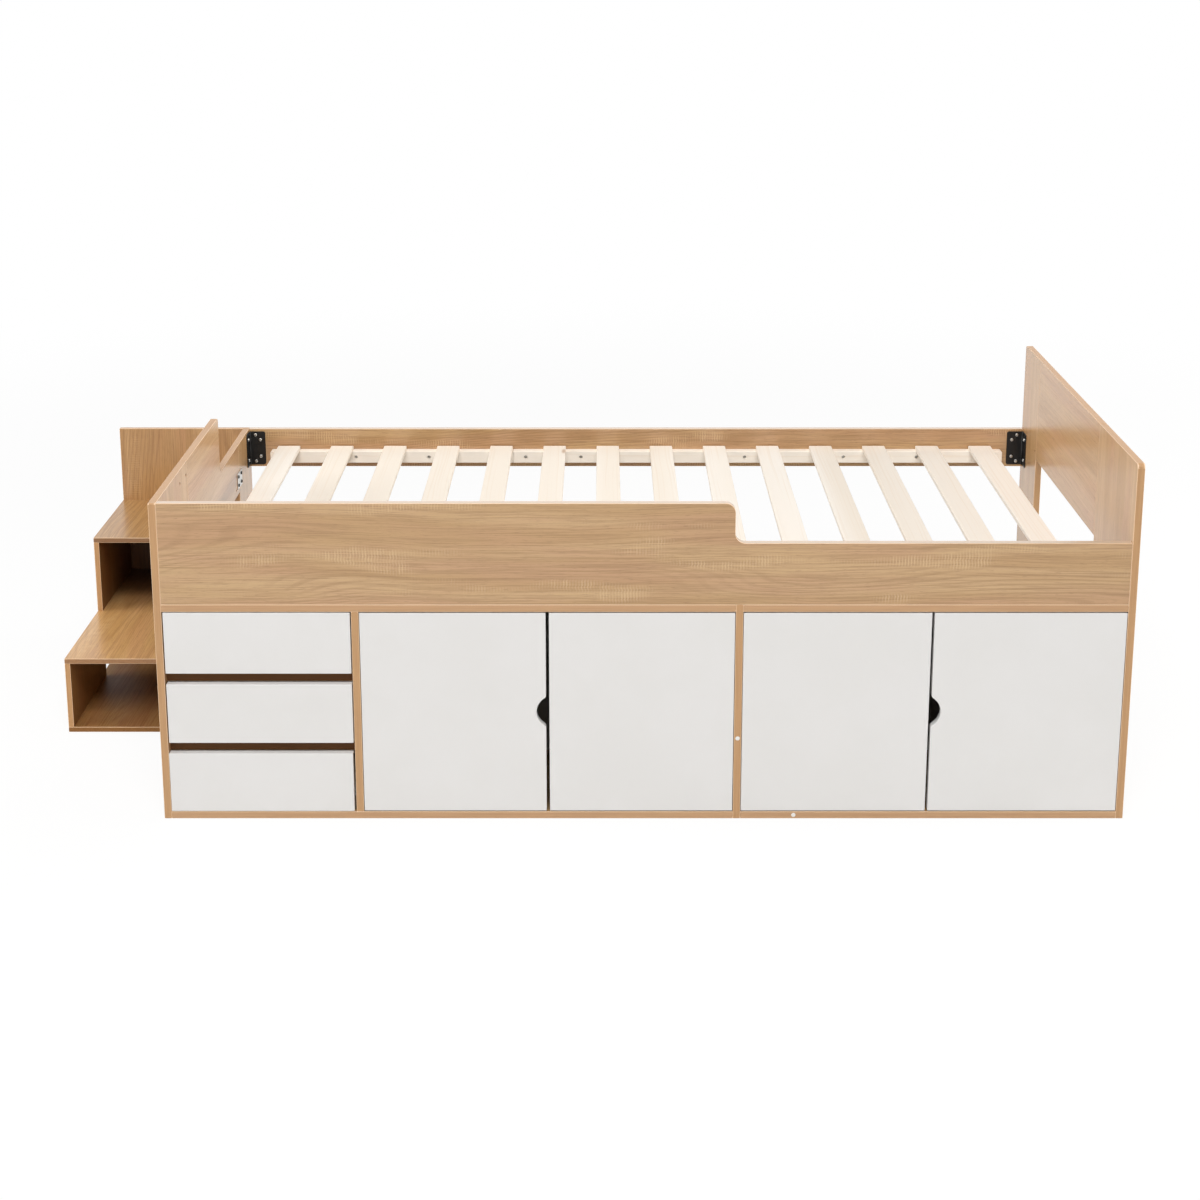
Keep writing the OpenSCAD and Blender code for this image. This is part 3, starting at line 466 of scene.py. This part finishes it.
def pine(name, along):
    """Planed pine with straight growth lines, a few small knots and its own tone for each slat."""
    s = Shader(name)
    others = [i for i in (X, Y, Z) if i != along]
    place = s.axes()
    u, v, w = place[along], place[others[0]], place[others[1]]
    sway = s.noise(s.scaled((u, v, w), PINE_SWAY), detail=2.0)
    bent = s.math("ADD", v, s.math("MULTIPLY", sway, PINE_REACH))
    lines = s.noise(s.scaled((u, bent, w), PINE_LINES), detail=2.0)
    fine = s.noise(s.scaled((u, v, w), PINE_FINE), detail=2.0)
    each = s.noise(s.point(0.5, s.math("MULTIPLY", v, SLAT_TONES), 0.5), detail=0.0)
    cell = s.add("TexVoronoi", Vector=s.scaled((u, v, w), PINE_CELLS), Scale=1.0, Randomness=1.0)
    knot = s.fade(cell.outputs["Distance"], *KNOT_RADII)
    colour = s.mix(s.fade(each, *CLOUD_FADE), PINE_LIGHT, PINE_MID)
    colour = s.mix(s.fade(lines, *LINE_FADE), colour, PINE_LINE)
    colour = s.mix(s.math("MULTIPLY", knot, KNOT_SHARE), colour, PINE_KNOT)
    height = s.math("ADD", s.math("MULTIPLY", lines, LINE_RELIEF), fine)
    return s.surface(colour, s.fade(fine, *ROUGH_FADE, *PINE_ROUGH), s.bump(height, PINE_BUMP))


def black_coat(name):
    """Black powder coat with its fine orange peel."""
    s = Shader(name)
    place = s.places.outputs["Object"]
    grit = s.noise(place, scale=1400.0, detail=2.0)
    dust = s.noise(place, scale=60.0, roughness=0.6)
    colour = s.mix(s.fade(dust, 0.4, 0.7, to_high=0.6), BLACK, BLACK_DUST)
    return s.surface(colour, s.fade(dust, *ROUGH_FADE, *BLACK_ROUGH), s.bump(grit, depth=0.00008))


def zinc(name, base):
    """Bright zinc plate: faint cloudy spangle and a fine cellular unevenness of its roughness."""
    s = Shader(name)
    place = s.places.outputs["Object"]
    cell = s.add("TexVoronoi", Vector=place, Scale=420.0, Randomness=1.0)
    cloud = s.noise(place, scale=160.0, roughness=0.6)
    dull = linear(*[c * ZINC_DULL for c in base])
    colour = s.mix(s.fade(cloud, *CLOUD_FADE, to_high=0.6), linear(*base), dull)
    roughness = s.fade(cell.outputs["Distance"], 0.0, 0.8, *ZINC_ROUGH)
    return s.surface(colour, roughness, s.bump(cloud, depth=0.00003), metallic=1.0)


def plastic(name, base, roughness):
    """Moulded plastic or smooth paint with a slight unevenness."""
    s = Shader(name)
    place = s.places.outputs["Object"]
    cloud = s.noise(place, scale=120.0, roughness=0.6)
    grit = s.noise(place, scale=1600.0, detail=2.0)
    shade = linear(*[c * PLASTIC_SHADE for c in base])
    colour = s.mix(s.fade(cloud, *CLOUD_FADE, to_high=0.5), linear(*base), shade)
    uneven = s.fade(cloud, *ROUGH_FADE, *(roughness + swing for swing in PLASTIC_SWING))
    return s.surface(colour, uneven, s.bump(grit, depth=0.00004))


def painted_shade_span(node):
    """Where painted shade darkens a face inside the upper compartment, in metres, or None."""
    if node not in PAINTED_SHADE_FACES:
        return None
    side, axis, start, end, tint = PAINTED_SHADE_FACES[node]
    low, high = extent([v.co for v in frame["nodes"]["step_upper_side"].data.vertices])
    front, depth = (low[Y], high[Y] - low[Y]) if axis == Y else (high[Z], low[Z] - high[Z])
    return side, axis, front + start * depth, front + end * depth, tint


def make_materials():
    made = {"pine_slats": pine("pine_slats", Y), "pine_battens": pine("pine_battens", X)}
    for node, kind in BOARDS.items():
        style = {**PLAIN_PRINT, **PRINT_AND_PAINTED_LIGHT_BY_KIND[kind[1]], **PRINT_AND_PAINTED_LIGHT_BY_BOARD.get(node, {})}
        if node in PRINT_AND_PAINTED_LIGHT_BY_BOARD:
            made[node] = oak("oak_" + node, *kind, style, painted_shade_span(node))
        elif kind not in made:
            made[kind] = oak("oak_%s%s" % tuple("xyz"[i] for i in kind), *kind, style)
    made["front"] = coated_white("white_front", FRONT_WHITE, FRONT_SHADE, roughness=0.40, dimple=0.00005)
    made["inner"] = coated_white("white_inner", INNER_WHITE, INNER_SHADE, roughness=0.52, dimple=0.00008)
    made["black"] = black_coat("black_coat")
    made["zinc"] = zinc("zinc_plate", ZINC)
    made["bright_zinc"] = zinc("bright_zinc_plate", BRIGHT_ZINC)
    made["plastic"] = plastic("white_plastic", PLASTIC, roughness=0.38)
    made["coated_steel"] = plastic("white_coated_steel", COATED_STEEL, roughness=0.30)
    return made


# Shapes
def clean_copy(node):
    """The node's solids with their split corners joined and their flat faces merged."""
    bm = bmesh.new()
    bm.from_mesh(frame["nodes"][node].data)
    bmesh.ops.remove_doubles(bm, verts=bm.verts, dist=TOUCH / 2)
    bmesh.ops.dissolve_limit(bm, angle_limit=COPLANAR, verts=bm.verts, edges=bm.edges, delimit=set())
    return bm


def connected(items, neighbours):
    """Splits items into groups that are joined through neighbours."""
    left, groups = set(items), []
    for start in items:
        if start not in left:
            continue
        left.discard(start)
        group, queue = [], [start]
        while queue:
            item = queue.pop()
            group.append(item)
            for other in neighbours(item):
                if other in left:
                    left.discard(other)
                    queue.append(other)
        groups.append(group)
    return groups


def solids(bm):
    return connected(list(bm.verts), lambda v: [e.other_vert(v) for e in v.link_edges])


def extent(points):
    low = Vector([min(p[i] for p in points) for i in range(3)])
    high = Vector([max(p[i] for p in points) for i in range(3)])
    return low, high


def outline_edges(group):
    """Sharp edges that run right round a side of one solid. The rims of its holes are left out."""
    low, high = extent([v.co for v in group])
    sharp = {e for v in group for e in v.link_edges
             if len(e.link_faces) == 2 and e.calc_face_angle() > SHARP}
    chosen = set()
    for axis in range(3):
        others = [i for i in range(3) if i != axis]
        for level in (low[axis], high[axis]):
            on = [e for e in sharp if all(abs(v.co[axis] - level) < TOUCH for v in e.verts)]
            on_set = set(on)
            for run in connected(on, lambda e: [n for v in e.verts for n in v.link_edges if n in on_set]):
                a, b = extent([v.co for e in run for v in e.verts])
                if all(b[i] - a[i] > WHOLE_SIDE * (high[i] - low[i]) for i in others):
                    chosen.update(run)
    return chosen


def finish_mesh(bm, name, material):
    """Makes an object of bm. Faces square to an axis stay flat and the rounded ones are smooth."""
    bmesh.ops.triangulate(bm, faces=bm.faces, ngon_method="BEAUTY")
    bm.normal_update()
    smooth = [max(abs(c) for c in face.normal) < AXIS_ALIGNED for face in bm.faces]
    mesh = bpy.data.meshes.new(name)
    bm.to_mesh(mesh)
    bm.free()
    for layer in ("custom_normal", "sharp_face"):
        if layer in mesh.attributes:
            mesh.attributes.remove(mesh.attributes[layer])
    mesh.set_sharp_from_angle(angle=SMOOTH)
    mesh.polygons.foreach_set("use_smooth", smooth)
    mesh.materials.append(material)
    piece = bpy.data.objects.new(name, mesh)
    bpy.context.scene.collection.objects.link(piece)
    return piece


def body_of(node):
    for body, members in frame["record"]["behaviour"]["bodies"].items():
        if node in members:
            return body
    raise ValueError(node)


def stand_for(piece, node):
    """The piece replaces a node and rides on its body."""
    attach(piece, body_of(node))
    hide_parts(node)


def round_edges(bm, edges, radius, steps):
    bmesh.ops.bevel(bm, geom=edges, offset=radius, offset_type="OFFSET", segments=steps, profile=0.5,
                    affect="EDGES", clamp_overlap=True)


def round_outlines(bm, radius, steps):
    round_edges(bm, [e for group in solids(bm) for e in outline_edges(group)], radius, steps)


def rounded(node, radius, material, steps=ROUND_STEPS):
    """Replaces a node with a copy whose outer edges are rounded."""
    bm = clean_copy(node)
    round_outlines(bm, radius, steps)
    stand_for(finish_mesh(bm, "look_" + node, material), node)


def turned(bm, profile, place, steps=TURN_STEPS):
    """Adds a turned surface about the place's Z from radius and height pairs, and returns its rings."""
    rings = []
    for radius, height in profile:
        if radius == 0:
            rings.append([bm.verts.new(place @ Vector((0, 0, height)))])
            continue
        turns = [2 * math.pi * i / steps for i in range(steps)]
        rings.append([bm.verts.new(place @ Vector((radius * math.cos(a), radius * math.sin(a), height)))
                      for a in turns])
    for low, high in zip(rings, rings[1:]):
        for i in range(steps):
            j = (i + 1) % steps
            corners = [low[i % len(low)], low[j % len(low)], high[j % len(high)], high[i % len(high)]]
            bm.faces.new(list(dict.fromkeys(corners)))
    return rings


def cross_top(bm, ring, place, radius, height, turn):
    """Closes a ring of corners with a flat top that has a tapered cross recess."""
    arm, half, depth = (c * radius for c in CROSS)
    loops = []
    for level, share in ((height, 1.0), (height - depth, CROSS_TAPER)):
        loop = []
        for quarter in range(4):
            spin = Matrix.Rotation(turn + quarter * math.pi / 2, 4, "Z")
            for x, y in ((arm, -half), (arm, half), (half, half)):
                loop.append(bm.verts.new(place @ spin @ Vector((x * share, y * share, level))))
        loops.append(loop)
    upper, lower = loops
    for i in range(len(upper)):
        j = (i + 1) % len(upper)
        bm.faces.new((upper[i], upper[j], lower[j], lower[i]))
    bm.faces.new(lower)
    rims = [bm.edges.get((loop[i - 1], loop[i])) for loop in (ring, upper) for i in range(len(loop))]
    bmesh.ops.triangle_fill(bm, use_beauty=True, use_dissolve=False, edges=rims)


def facing(point, direction):
    """Placement whose +Z points along a direction."""
    return Matrix.Translation(point) @ direction.to_track_quat("Z", "Y").to_matrix().to_4x4()


def ends_of(group, axis):
    """A turned solid's ends (middle, outward direction, radius and corner count), and its length."""
    low, high = extent([v.co for v in group])
    ends = []
    for level, sign in ((low[axis], -1.0), (high[axis], 1.0)):
        middle = (low + high) / 2
        middle[axis] = level
        on = [v.co for v in group if abs(v.co[axis] - level) < TOUCH]
        out = Vector([sign if i == axis else 0.0 for i in range(3)])
        ends.append((middle, out, max((p - middle).length for p in on), len(on)))
    return ends, (high - low)[axis]


def long_axis(group):
    low, high = extent([v.co for v in group])
    return max(range(3), key=lambda i: (high - low)[i])


def pan_head(bm, place, radius, height, turn):
    """Closed pan head with a cross recess. Its underside is at the place's origin."""
    dome = [(0.0, 0.0), (radius, 0.0), (radius, height * HEAD_WALL)]
    dome += [(radius * share, height * rise) for share, rise in HEAD_DOME]
    rings = turned(bm, dome, place)
    cross_top(bm, rings[-1], place, radius, height, turn)


def screw(bm, place, length, turn):
    """Pan-head wood screw: head upwards from the place's origin, ringed shank and blunt end below."""
    pan_head(bm, place, HEAD_R, HEAD_T, turn)
    profile = [(0.0, 0.0), (SHANK_R, 0.0), (SHANK_R, -THREAD_PITCH)]
    depth = THREAD_PITCH
    while depth + THREAD_PITCH < length - POINT:
        profile += [(r, -depth - THREAD_PITCH * share) for r, share in zip((CORE_R, SHANK_R), THREAD_RIDGE)]
        depth += THREAD_PITCH
    profile += [(CORE_R, -length + POINT), (0.0, -length)]
    turned(bm, profile, place, TURN_STEPS // 2)


def make_screws(made):
    """Wood screws: dark ones in the seam plate, bright ones elsewhere."""
    bright, dark, turns = bmesh.new(), bmesh.new(), random.Random(SCREW_SEED)
    plate_low, plate_high = extent([v.co for v in frame["nodes"]["seam_plate"].data.vertices])
    source = clean_copy("wood_screws")
    for group in solids(source):
        ends, length = ends_of(group, long_axis(group))
        middle, out, _, _ = max(ends, key=lambda e: e[2])
        in_plate = out[X] != 0 and all(plate_low[i] < middle[i] < plate_high[i] for i in (Y, Z))
        screw(dark if in_plate else bright, facing(middle - out * HEAD_T, out), length - HEAD_T,
              turns.uniform(0, math.pi))
    source.free()
    for bm, suffix, key in ((bright, "", "zinc"), (dark, "_dark", "black")):
        bmesh.ops.recalc_face_normals(bm, faces=bm.faces)
        stand_for(finish_mesh(bm, "look_wood_screws" + suffix, made[key]), "wood_screws")


def make_cams(made):
    """Cam discs with a cross recess, and their bolts with a waisted neck."""
    bm, turns = bmesh.new(), random.Random(CAM_SEED)
    source = clean_copy("cam_fittings")
    for group in solids(source):
        low, high = extent([v.co for v in group])
        size = sorted(high - low)
        is_disc = size[2] - size[1] < TOUCH
        axis = min(range(3), key=lambda i: (high - low)[i]) if is_disc else long_axis(group)
        ends, length = ends_of(group, axis)
        middle, out, radius, _ = max(ends, key=lambda e: e[3])
        place = facing(middle, out)
        if is_disc:
            rim = radius - CAM_BEVEL
            rings = turned(bm, [(0.0, -length), (radius, -length), (radius, -CAM_BEVEL), (rim, 0.0),
                                (rim - CAM_BEVEL, 0.0), (rim - CAM_BEVEL, -CAM_RECESS)], place)
            cross_top(bm, rings[-1], place, radius, -CAM_RECESS, turns.uniform(0, math.pi))
        else:
            neck = radius * BOLT_NECK
            waist = [(r, -length * share) for r, share in zip((radius, neck, neck, radius), BOLT_WAIST)]
            turned(bm, [(0.0, 0.0), (radius - CAM_BEVEL, 0.0), (radius, -CAM_BEVEL), *waist,
                        (radius, -length + CAM_BEVEL), (radius - CAM_BEVEL, -length), (0.0, -length)], place)
    source.free()
    bmesh.ops.recalc_face_normals(bm, faces=bm.faces)
    stand_for(finish_mesh(bm, "look_cam_fittings", made["zinc"]), "cam_fittings")


def make_caps(made):
    """Cover caps with a shallow dome and a small eye."""
    bm = bmesh.new()
    source = clean_copy("cover_caps")
    for group in solids(source):
        ends, length = ends_of(group, Y)
        middle, out, radius, _ = ends[0]
        dome = [(0.0, -length), (radius, -length), (radius, -CAP_DROP)]
        dome += [(radius * share, -CAP_DROP * share ** 3) for share in CAP_RINGS]
        dome += [(CAP_EYE_R, 0.0), (CAP_EYE_R * CAP_EYE_TAPER, -CAP_EYE_DEPTH), (0.0, -CAP_EYE_DEPTH)]
        turned(bm, dome, facing(middle, out))
    source.free()
    bmesh.ops.recalc_face_normals(bm, faces=bm.faces)
    stand_for(finish_mesh(bm, "look_cover_caps", made["plastic"]), "cover_caps")


def make_brackets(made):
    """Angle brackets with a bend between their leaves in place of the sharp inner corner."""
    bm = clean_copy("rail_brackets")
    boxes = [extent([v.co for v in group]) for group in solids(bm)]

    def at_bend(edge):
        a, b = (v.co for v in edge.verts)
        return any(abs(abs(a[Z] - b[Z]) - (high[Z] - low[Z])) < TOUCH
                   and low[X] + TOUCH < a[X] < high[X] - TOUCH and a[Y] > low[Y] + TOUCH
                   for low, high in boxes)

    sharp = [e for e in bm.edges if len(e.link_faces) == 2 and e.calc_face_angle() > SHARP]
    round_edges(bm, [e for e in sharp if at_bend(e)], BRACKET_BEND, BEND_STEPS)
    round_outlines(bm, STEEL_ROUND, FINE_STEPS)
    stand_for(finish_mesh(bm, "look_rail_brackets", made["black"]), "rail_brackets")


def sheet_bar(bm, outline, y0, y1, place):
    """Extrudes an X-Z outline from y0 to y1 in a runner's own axes and rounds its edges."""
    rings = [[bm.verts.new(place @ Vector((x, y, z))) for x, z in outline] for y in (y0, y1)]
    sides = [bm.faces.new(rings[0]), bm.faces.new(rings[1])]
    for i in range(len(outline)):
        j = (i + 1) % len(outline)
        sides.append(bm.faces.new((rings[0][i], rings[0][j], rings[1][j], rings[1][i])))
    round_edges(bm, list({e for f in sides for e in f.edges}), SHEET * SHEET_ROUND, FINE_STEPS)


def along_runner(place, x, y):
    """Placement at (x, y) of a runner whose +Z points along the runner's X axis."""
    return place @ Matrix.Translation((x, y, 0)) @ Matrix.Rotation(math.pi / 2, 4, "Y")


def wheel(bm, place, y):
    """Grooved roller on the runner's X axis."""
    x0, x1 = ROLLER_X
    rim = ROLLER_R * RIM_SHARE
    half = [(0.0, 0.0), (HUB_R, 0.0), (HUB_R + HUB_SLOPE, GROOVE_DEPTH), (rim - GROOVE_DEPTH, GROOVE_DEPTH),
            (rim, 0.0), (ROLLER_R, TREAD_ROUND)]
    other = [(radius, x1 - x0 - height) for radius, height in reversed(half)]
    turned(bm, half + other, along_runner(place, x0, y))


def axle(bm, place, y, x0, x1):
    """Riveted axle from x0 to x1 along the runner's X axis."""
    length = x1 - x0
    turned(bm, [(0.0, 0.0), (AXLE_R, 0.0), (AXLE_R, length - RIVET_CHAMFER), (AXLE_R * RIVET_TOP, length),
                (0.0, length)], along_runner(place, x0, y))


def runner_boxes(node):
    """For each runner of a node the corners of its box, and the sign of the way along X off its wall."""
    bm = clean_copy(node)
    boxes = [extent([v.co for v in group]) for group in solids(bm)]
    bm.free()
    middle = sum((low[X] + high[X]) / 2 for low, high in boxes) / len(boxes)
    return [(low, high, 1.0 if (low[X] + high[X]) / 2 < middle else -1.0) for low, high in boxes]


def channel_outline():
    top, low = CHANNEL_ABOVE, -CHANNEL_BELOW
    return [(0, low), (CHANNEL_W, low), (CHANNEL_W, low + SHEET), (SHEET, low + SHEET), (SHEET, top - SHEET),
            (CHANNEL_W, top - SHEET), (CHANNEL_W, top), (0, top)]


def rail_outline():
    top, low, web = RAIL_ABOVE, -RAIL_BELOW, RUNNER_W - SHEET
    return [(web, low), (RUNNER_W + LIP_W, low), (RUNNER_W + LIP_W, low + SHEET), (RUNNER_W, low + SHEET),
            (RUNNER_W, top), (ROLLER_X[0], top), (ROLLER_X[0], top - SHEET), (web, top - SHEET)]


def make_runner_set(node, made, outline, above, off_wall, roller_front):
    """White coated bars of one node, with their rollers and axles as pieces of their own."""
    bars, rollers, axles = bmesh.new(), bmesh.new(), bmesh.new()
    for low, high, side in runner_boxes(node):
        wall = (low[X] if side > 0 else high[X]) - side * off_wall
        place = Matrix.Translation((wall, 0, high[Z] - above)) @ Matrix.Diagonal((side, 1, 1, 1))
        sheet_bar(bars, outline, low[Y], high[Y], place)
        y = low[Y] + ROLLER_INSET if roller_front else high[Y] - ROLLER_INSET
        wheel(rollers, place, y)
        if roller_front:
            axle(axles, place, y, SHEET / 2, ROLLER_X[1] + AXLE_PAST)
        else:
            axle(axles, place, y, ROLLER_X[0] - AXLE_PAST, RUNNER_W)
    look = ((bars, "", "coated_steel"), (rollers, "_rollers", "plastic"), (axles, "_axles", "zinc"))
    for bm, suffix, key in look:
        bmesh.ops.recalc_face_normals(bm, faces=bm.faces)
        stand_for(finish_mesh(bm, "look_" + node + suffix, made[key]), node)


def make_runners(made):
    make_runner_set("drawer_channels", made, channel_outline(), CHANNEL_ABOVE, off_wall=0.0, roller_front=True)
    for drawer in DRAWERS:
        make_runner_set(drawer + "_runners", made, rail_outline(), RAIL_ABOVE, off_wall=ROLLER_X[0],
                        roller_front=False)


def make_hinges(made):
    """Hinge parts with broken edges, and the small screws that hold the cups and the mounting plates."""
    turns = random.Random(HINGE_SEED)
    for node in ["hinge_arms"] + [door + part for door in DOORS for part in ("_hinge_cups", "_hinge_links")]:
        rounded(node, STEEL_ROUND / 2, made["zinc"], FINE_STEPS)
    for node in ["hinge_arms"] + [door + "_hinge_cups" for door in DOORS]:
        source, bm = clean_copy(node), bmesh.new()
        for group in solids(source):
            low, high = extent([v.co for v in group])
            middle = (low + high) / 2
            if node != "hinge_arms":
                spots = [(Vector((middle[X], high[Y], middle[Z] + dz)), Vector((0, 1, 0)))
                         for dz in (-WING_SCREWS, WING_SCREWS)]
            else:
                spots = plate_spots(group, middle)
            for point, out in spots:
                pan_head(bm, facing(point, out), *SMALL_HEAD, turns.uniform(0, math.pi))
        source.free()
        bmesh.ops.recalc_face_normals(bm, faces=bm.faces)
        stand_for(finish_mesh(bm, "look_" + node + "_screws", made["zinc"]), node)


def plate_spots(group, middle):
    """Screw places on a hinge's mounting plate, found from the plate's top corners."""
    low, high = extent([v.co for v in group])
    tall = [v.co for v in group if abs(v.co[Z] - high[Z]) < TOUCH]
    plate_low, plate_high = extent(tall)
    wall_left = abs(plate_low[X] - low[X]) < TOUCH
    x, out = (plate_high[X], Vector((1, 0, 0))) if wall_left else (plate_low[X], Vector((-1, 0, 0)))
    y = (plate_low[Y] + plate_high[Y]) / 2
    return [(Vector((x, y, middle[Z] + dz)), out) for dz in (-PLATE_SCREWS, PLATE_SCREWS)]


def dress(made):
    for node, kind in BOARDS.items():
        rounded(node, BAND_ROUND, made.get(node, made.get(kind)))
    for drawer in DRAWERS:
        rounded(drawer + "_front", FRONT_ROUND, made["front"])
        for part in ("_sides", "_back", "_bottom"):
            rounded(drawer + part, BAND_ROUND, made["inner"])
    for door in DOORS:
        rounded(door, FRONT_ROUND, made["front"])
    rounded("slats", SLAT_ROUND, made["pine_slats"])
    rounded("slat_battens", SLAT_ROUND, made["pine_battens"])
    rounded("cabinet_backs", STEEL_ROUND, made["inner"])
    rounded("seam_plate", STEEL_ROUND, made["bright_zinc"])
    materials = frame["nodes"]["joint_dowels"].data.materials
    materials.clear()
    materials.append(made["pine_battens"])
    make_brackets(made)
    make_screws(made)
    make_cams(made)
    make_caps(made)
    make_runners(made)
    make_hinges(made)


# Surroundings
def seen_by_eye(tree):
    """1 for rays from the camera and for reflections, 0 for the rest."""
    path = tree.nodes.new("ShaderNodeLightPath")
    seen = tree.nodes.new("ShaderNodeMath")
    seen.operation = "MAXIMUM"
    tree.links.new(path.outputs["Is Camera Ray"], seen.inputs[0])
    tree.links.new(path.outputs["Is Glossy Ray"], seen.inputs[1])
    return seen.outputs[0]


def white_to_the_eye(shader, lit, share):
    """Shows a share of plain white to the camera and in reflections, and else the lit shader."""
    glow = shader.add("Emission", Strength=1.0)
    mix = shader.add("MixShader")
    tree = shader.material.node_tree
    shader.put(mix.inputs[0], shader.math("MULTIPLY", seen_by_eye(tree), share))
    shader.put(mix.inputs[1], lit)
    shader.put(mix.inputs[2], glow.outputs[0])
    shader.put(shader.output.inputs["Surface"], mix.outputs[0])


def make_floor():
    """Pale floor that keeps the object's shadow and turns white away from it."""
    s = Shader("floor_paper")
    place = s.places.outputs["Object"]
    distance = s.add("VectorMath", {"operation": "LENGTH"})
    s.put(distance.inputs[0], place)
    share = s.fade(distance.outputs["Value"], *FLOOR_FADE, FLOOR_WHITE, 1.0)
    grit = s.noise(place, scale=300.0, detail=2.0)
    lit = s.add("BsdfDiffuse", Color=FLOOR_PAPER, Normal=s.bump(grit, depth=0.0001))
    white_to_the_eye(s, lit.outputs[0], share)
    bm = bmesh.new()
    bmesh.ops.create_grid(bm, x_segments=1, y_segments=1, size=FLOOR_SIZE / 2)
    mesh = bpy.data.meshes.new("floor")
    bm.to_mesh(mesh)
    bm.free()
    mesh.materials.append(s.material)
    floor = bpy.data.objects.new("floor", mesh)
    bpy.context.scene.collection.objects.link(floor)


def make_world():
    """White dome that gives less light than the camera and reflections see."""
    world = bpy.data.worlds.new("studio")
    bpy.context.scene.world = world
    world.use_nodes = True
    tree = world.node_tree
    tree.nodes.clear()
    out = tree.nodes.new("ShaderNodeOutputWorld")
    back = tree.nodes.new("ShaderNodeBackground")
    back.inputs["Color"].default_value = PLAIN
    level = tree.nodes.new("ShaderNodeMapRange")
    level.inputs["To Min"].default_value = DOME_LEVEL
    level.inputs["To Max"].default_value = 1.0
    tree.links.new(seen_by_eye(tree), level.inputs["Value"])
    tree.links.new(level.outputs[0], back.inputs["Strength"])
    tree.links.new(back.outputs[0], out.inputs["Surface"])


def soft_box(name, at, aim, size, power):
    lamp = bpy.data.lights.new(name, "AREA")
    lamp.shape = "RECTANGLE"
    lamp.size, lamp.size_y = size
    lamp.energy = power
    piece = bpy.data.objects.new(name, lamp)
    piece.location = at
    piece.rotation_euler = (Vector(aim) - Vector(at)).to_track_quat("-Z", "Y").to_euler()
    piece.visible_camera = False
    bpy.context.scene.collection.objects.link(piece)


def make_lights():
    make_world()
    for name, (at, aim, size, power) in SOFT_BOXES.items():
        soft_box(name, at, aim, size, power)


def make_camera():
    data = bpy.data.cameras.new("camera")
    data.lens = CAMERA_LENS
    data.sensor_width = SENSOR_WIDTH
    data.shift_x, data.shift_y = CAMERA_SHIFT
    camera = bpy.data.objects.new("camera", data)
    camera.location = CAMERA_AT
    camera.rotation_euler = (math.radians(90 - CAMERA_TILT), 0, 0)
    bpy.context.scene.collection.objects.link(camera)
    bpy.context.scene.camera = camera


dress(make_materials())
make_floor()
make_lights()
make_camera()
bpy.context.scene.view_settings.view_transform = "Standard"
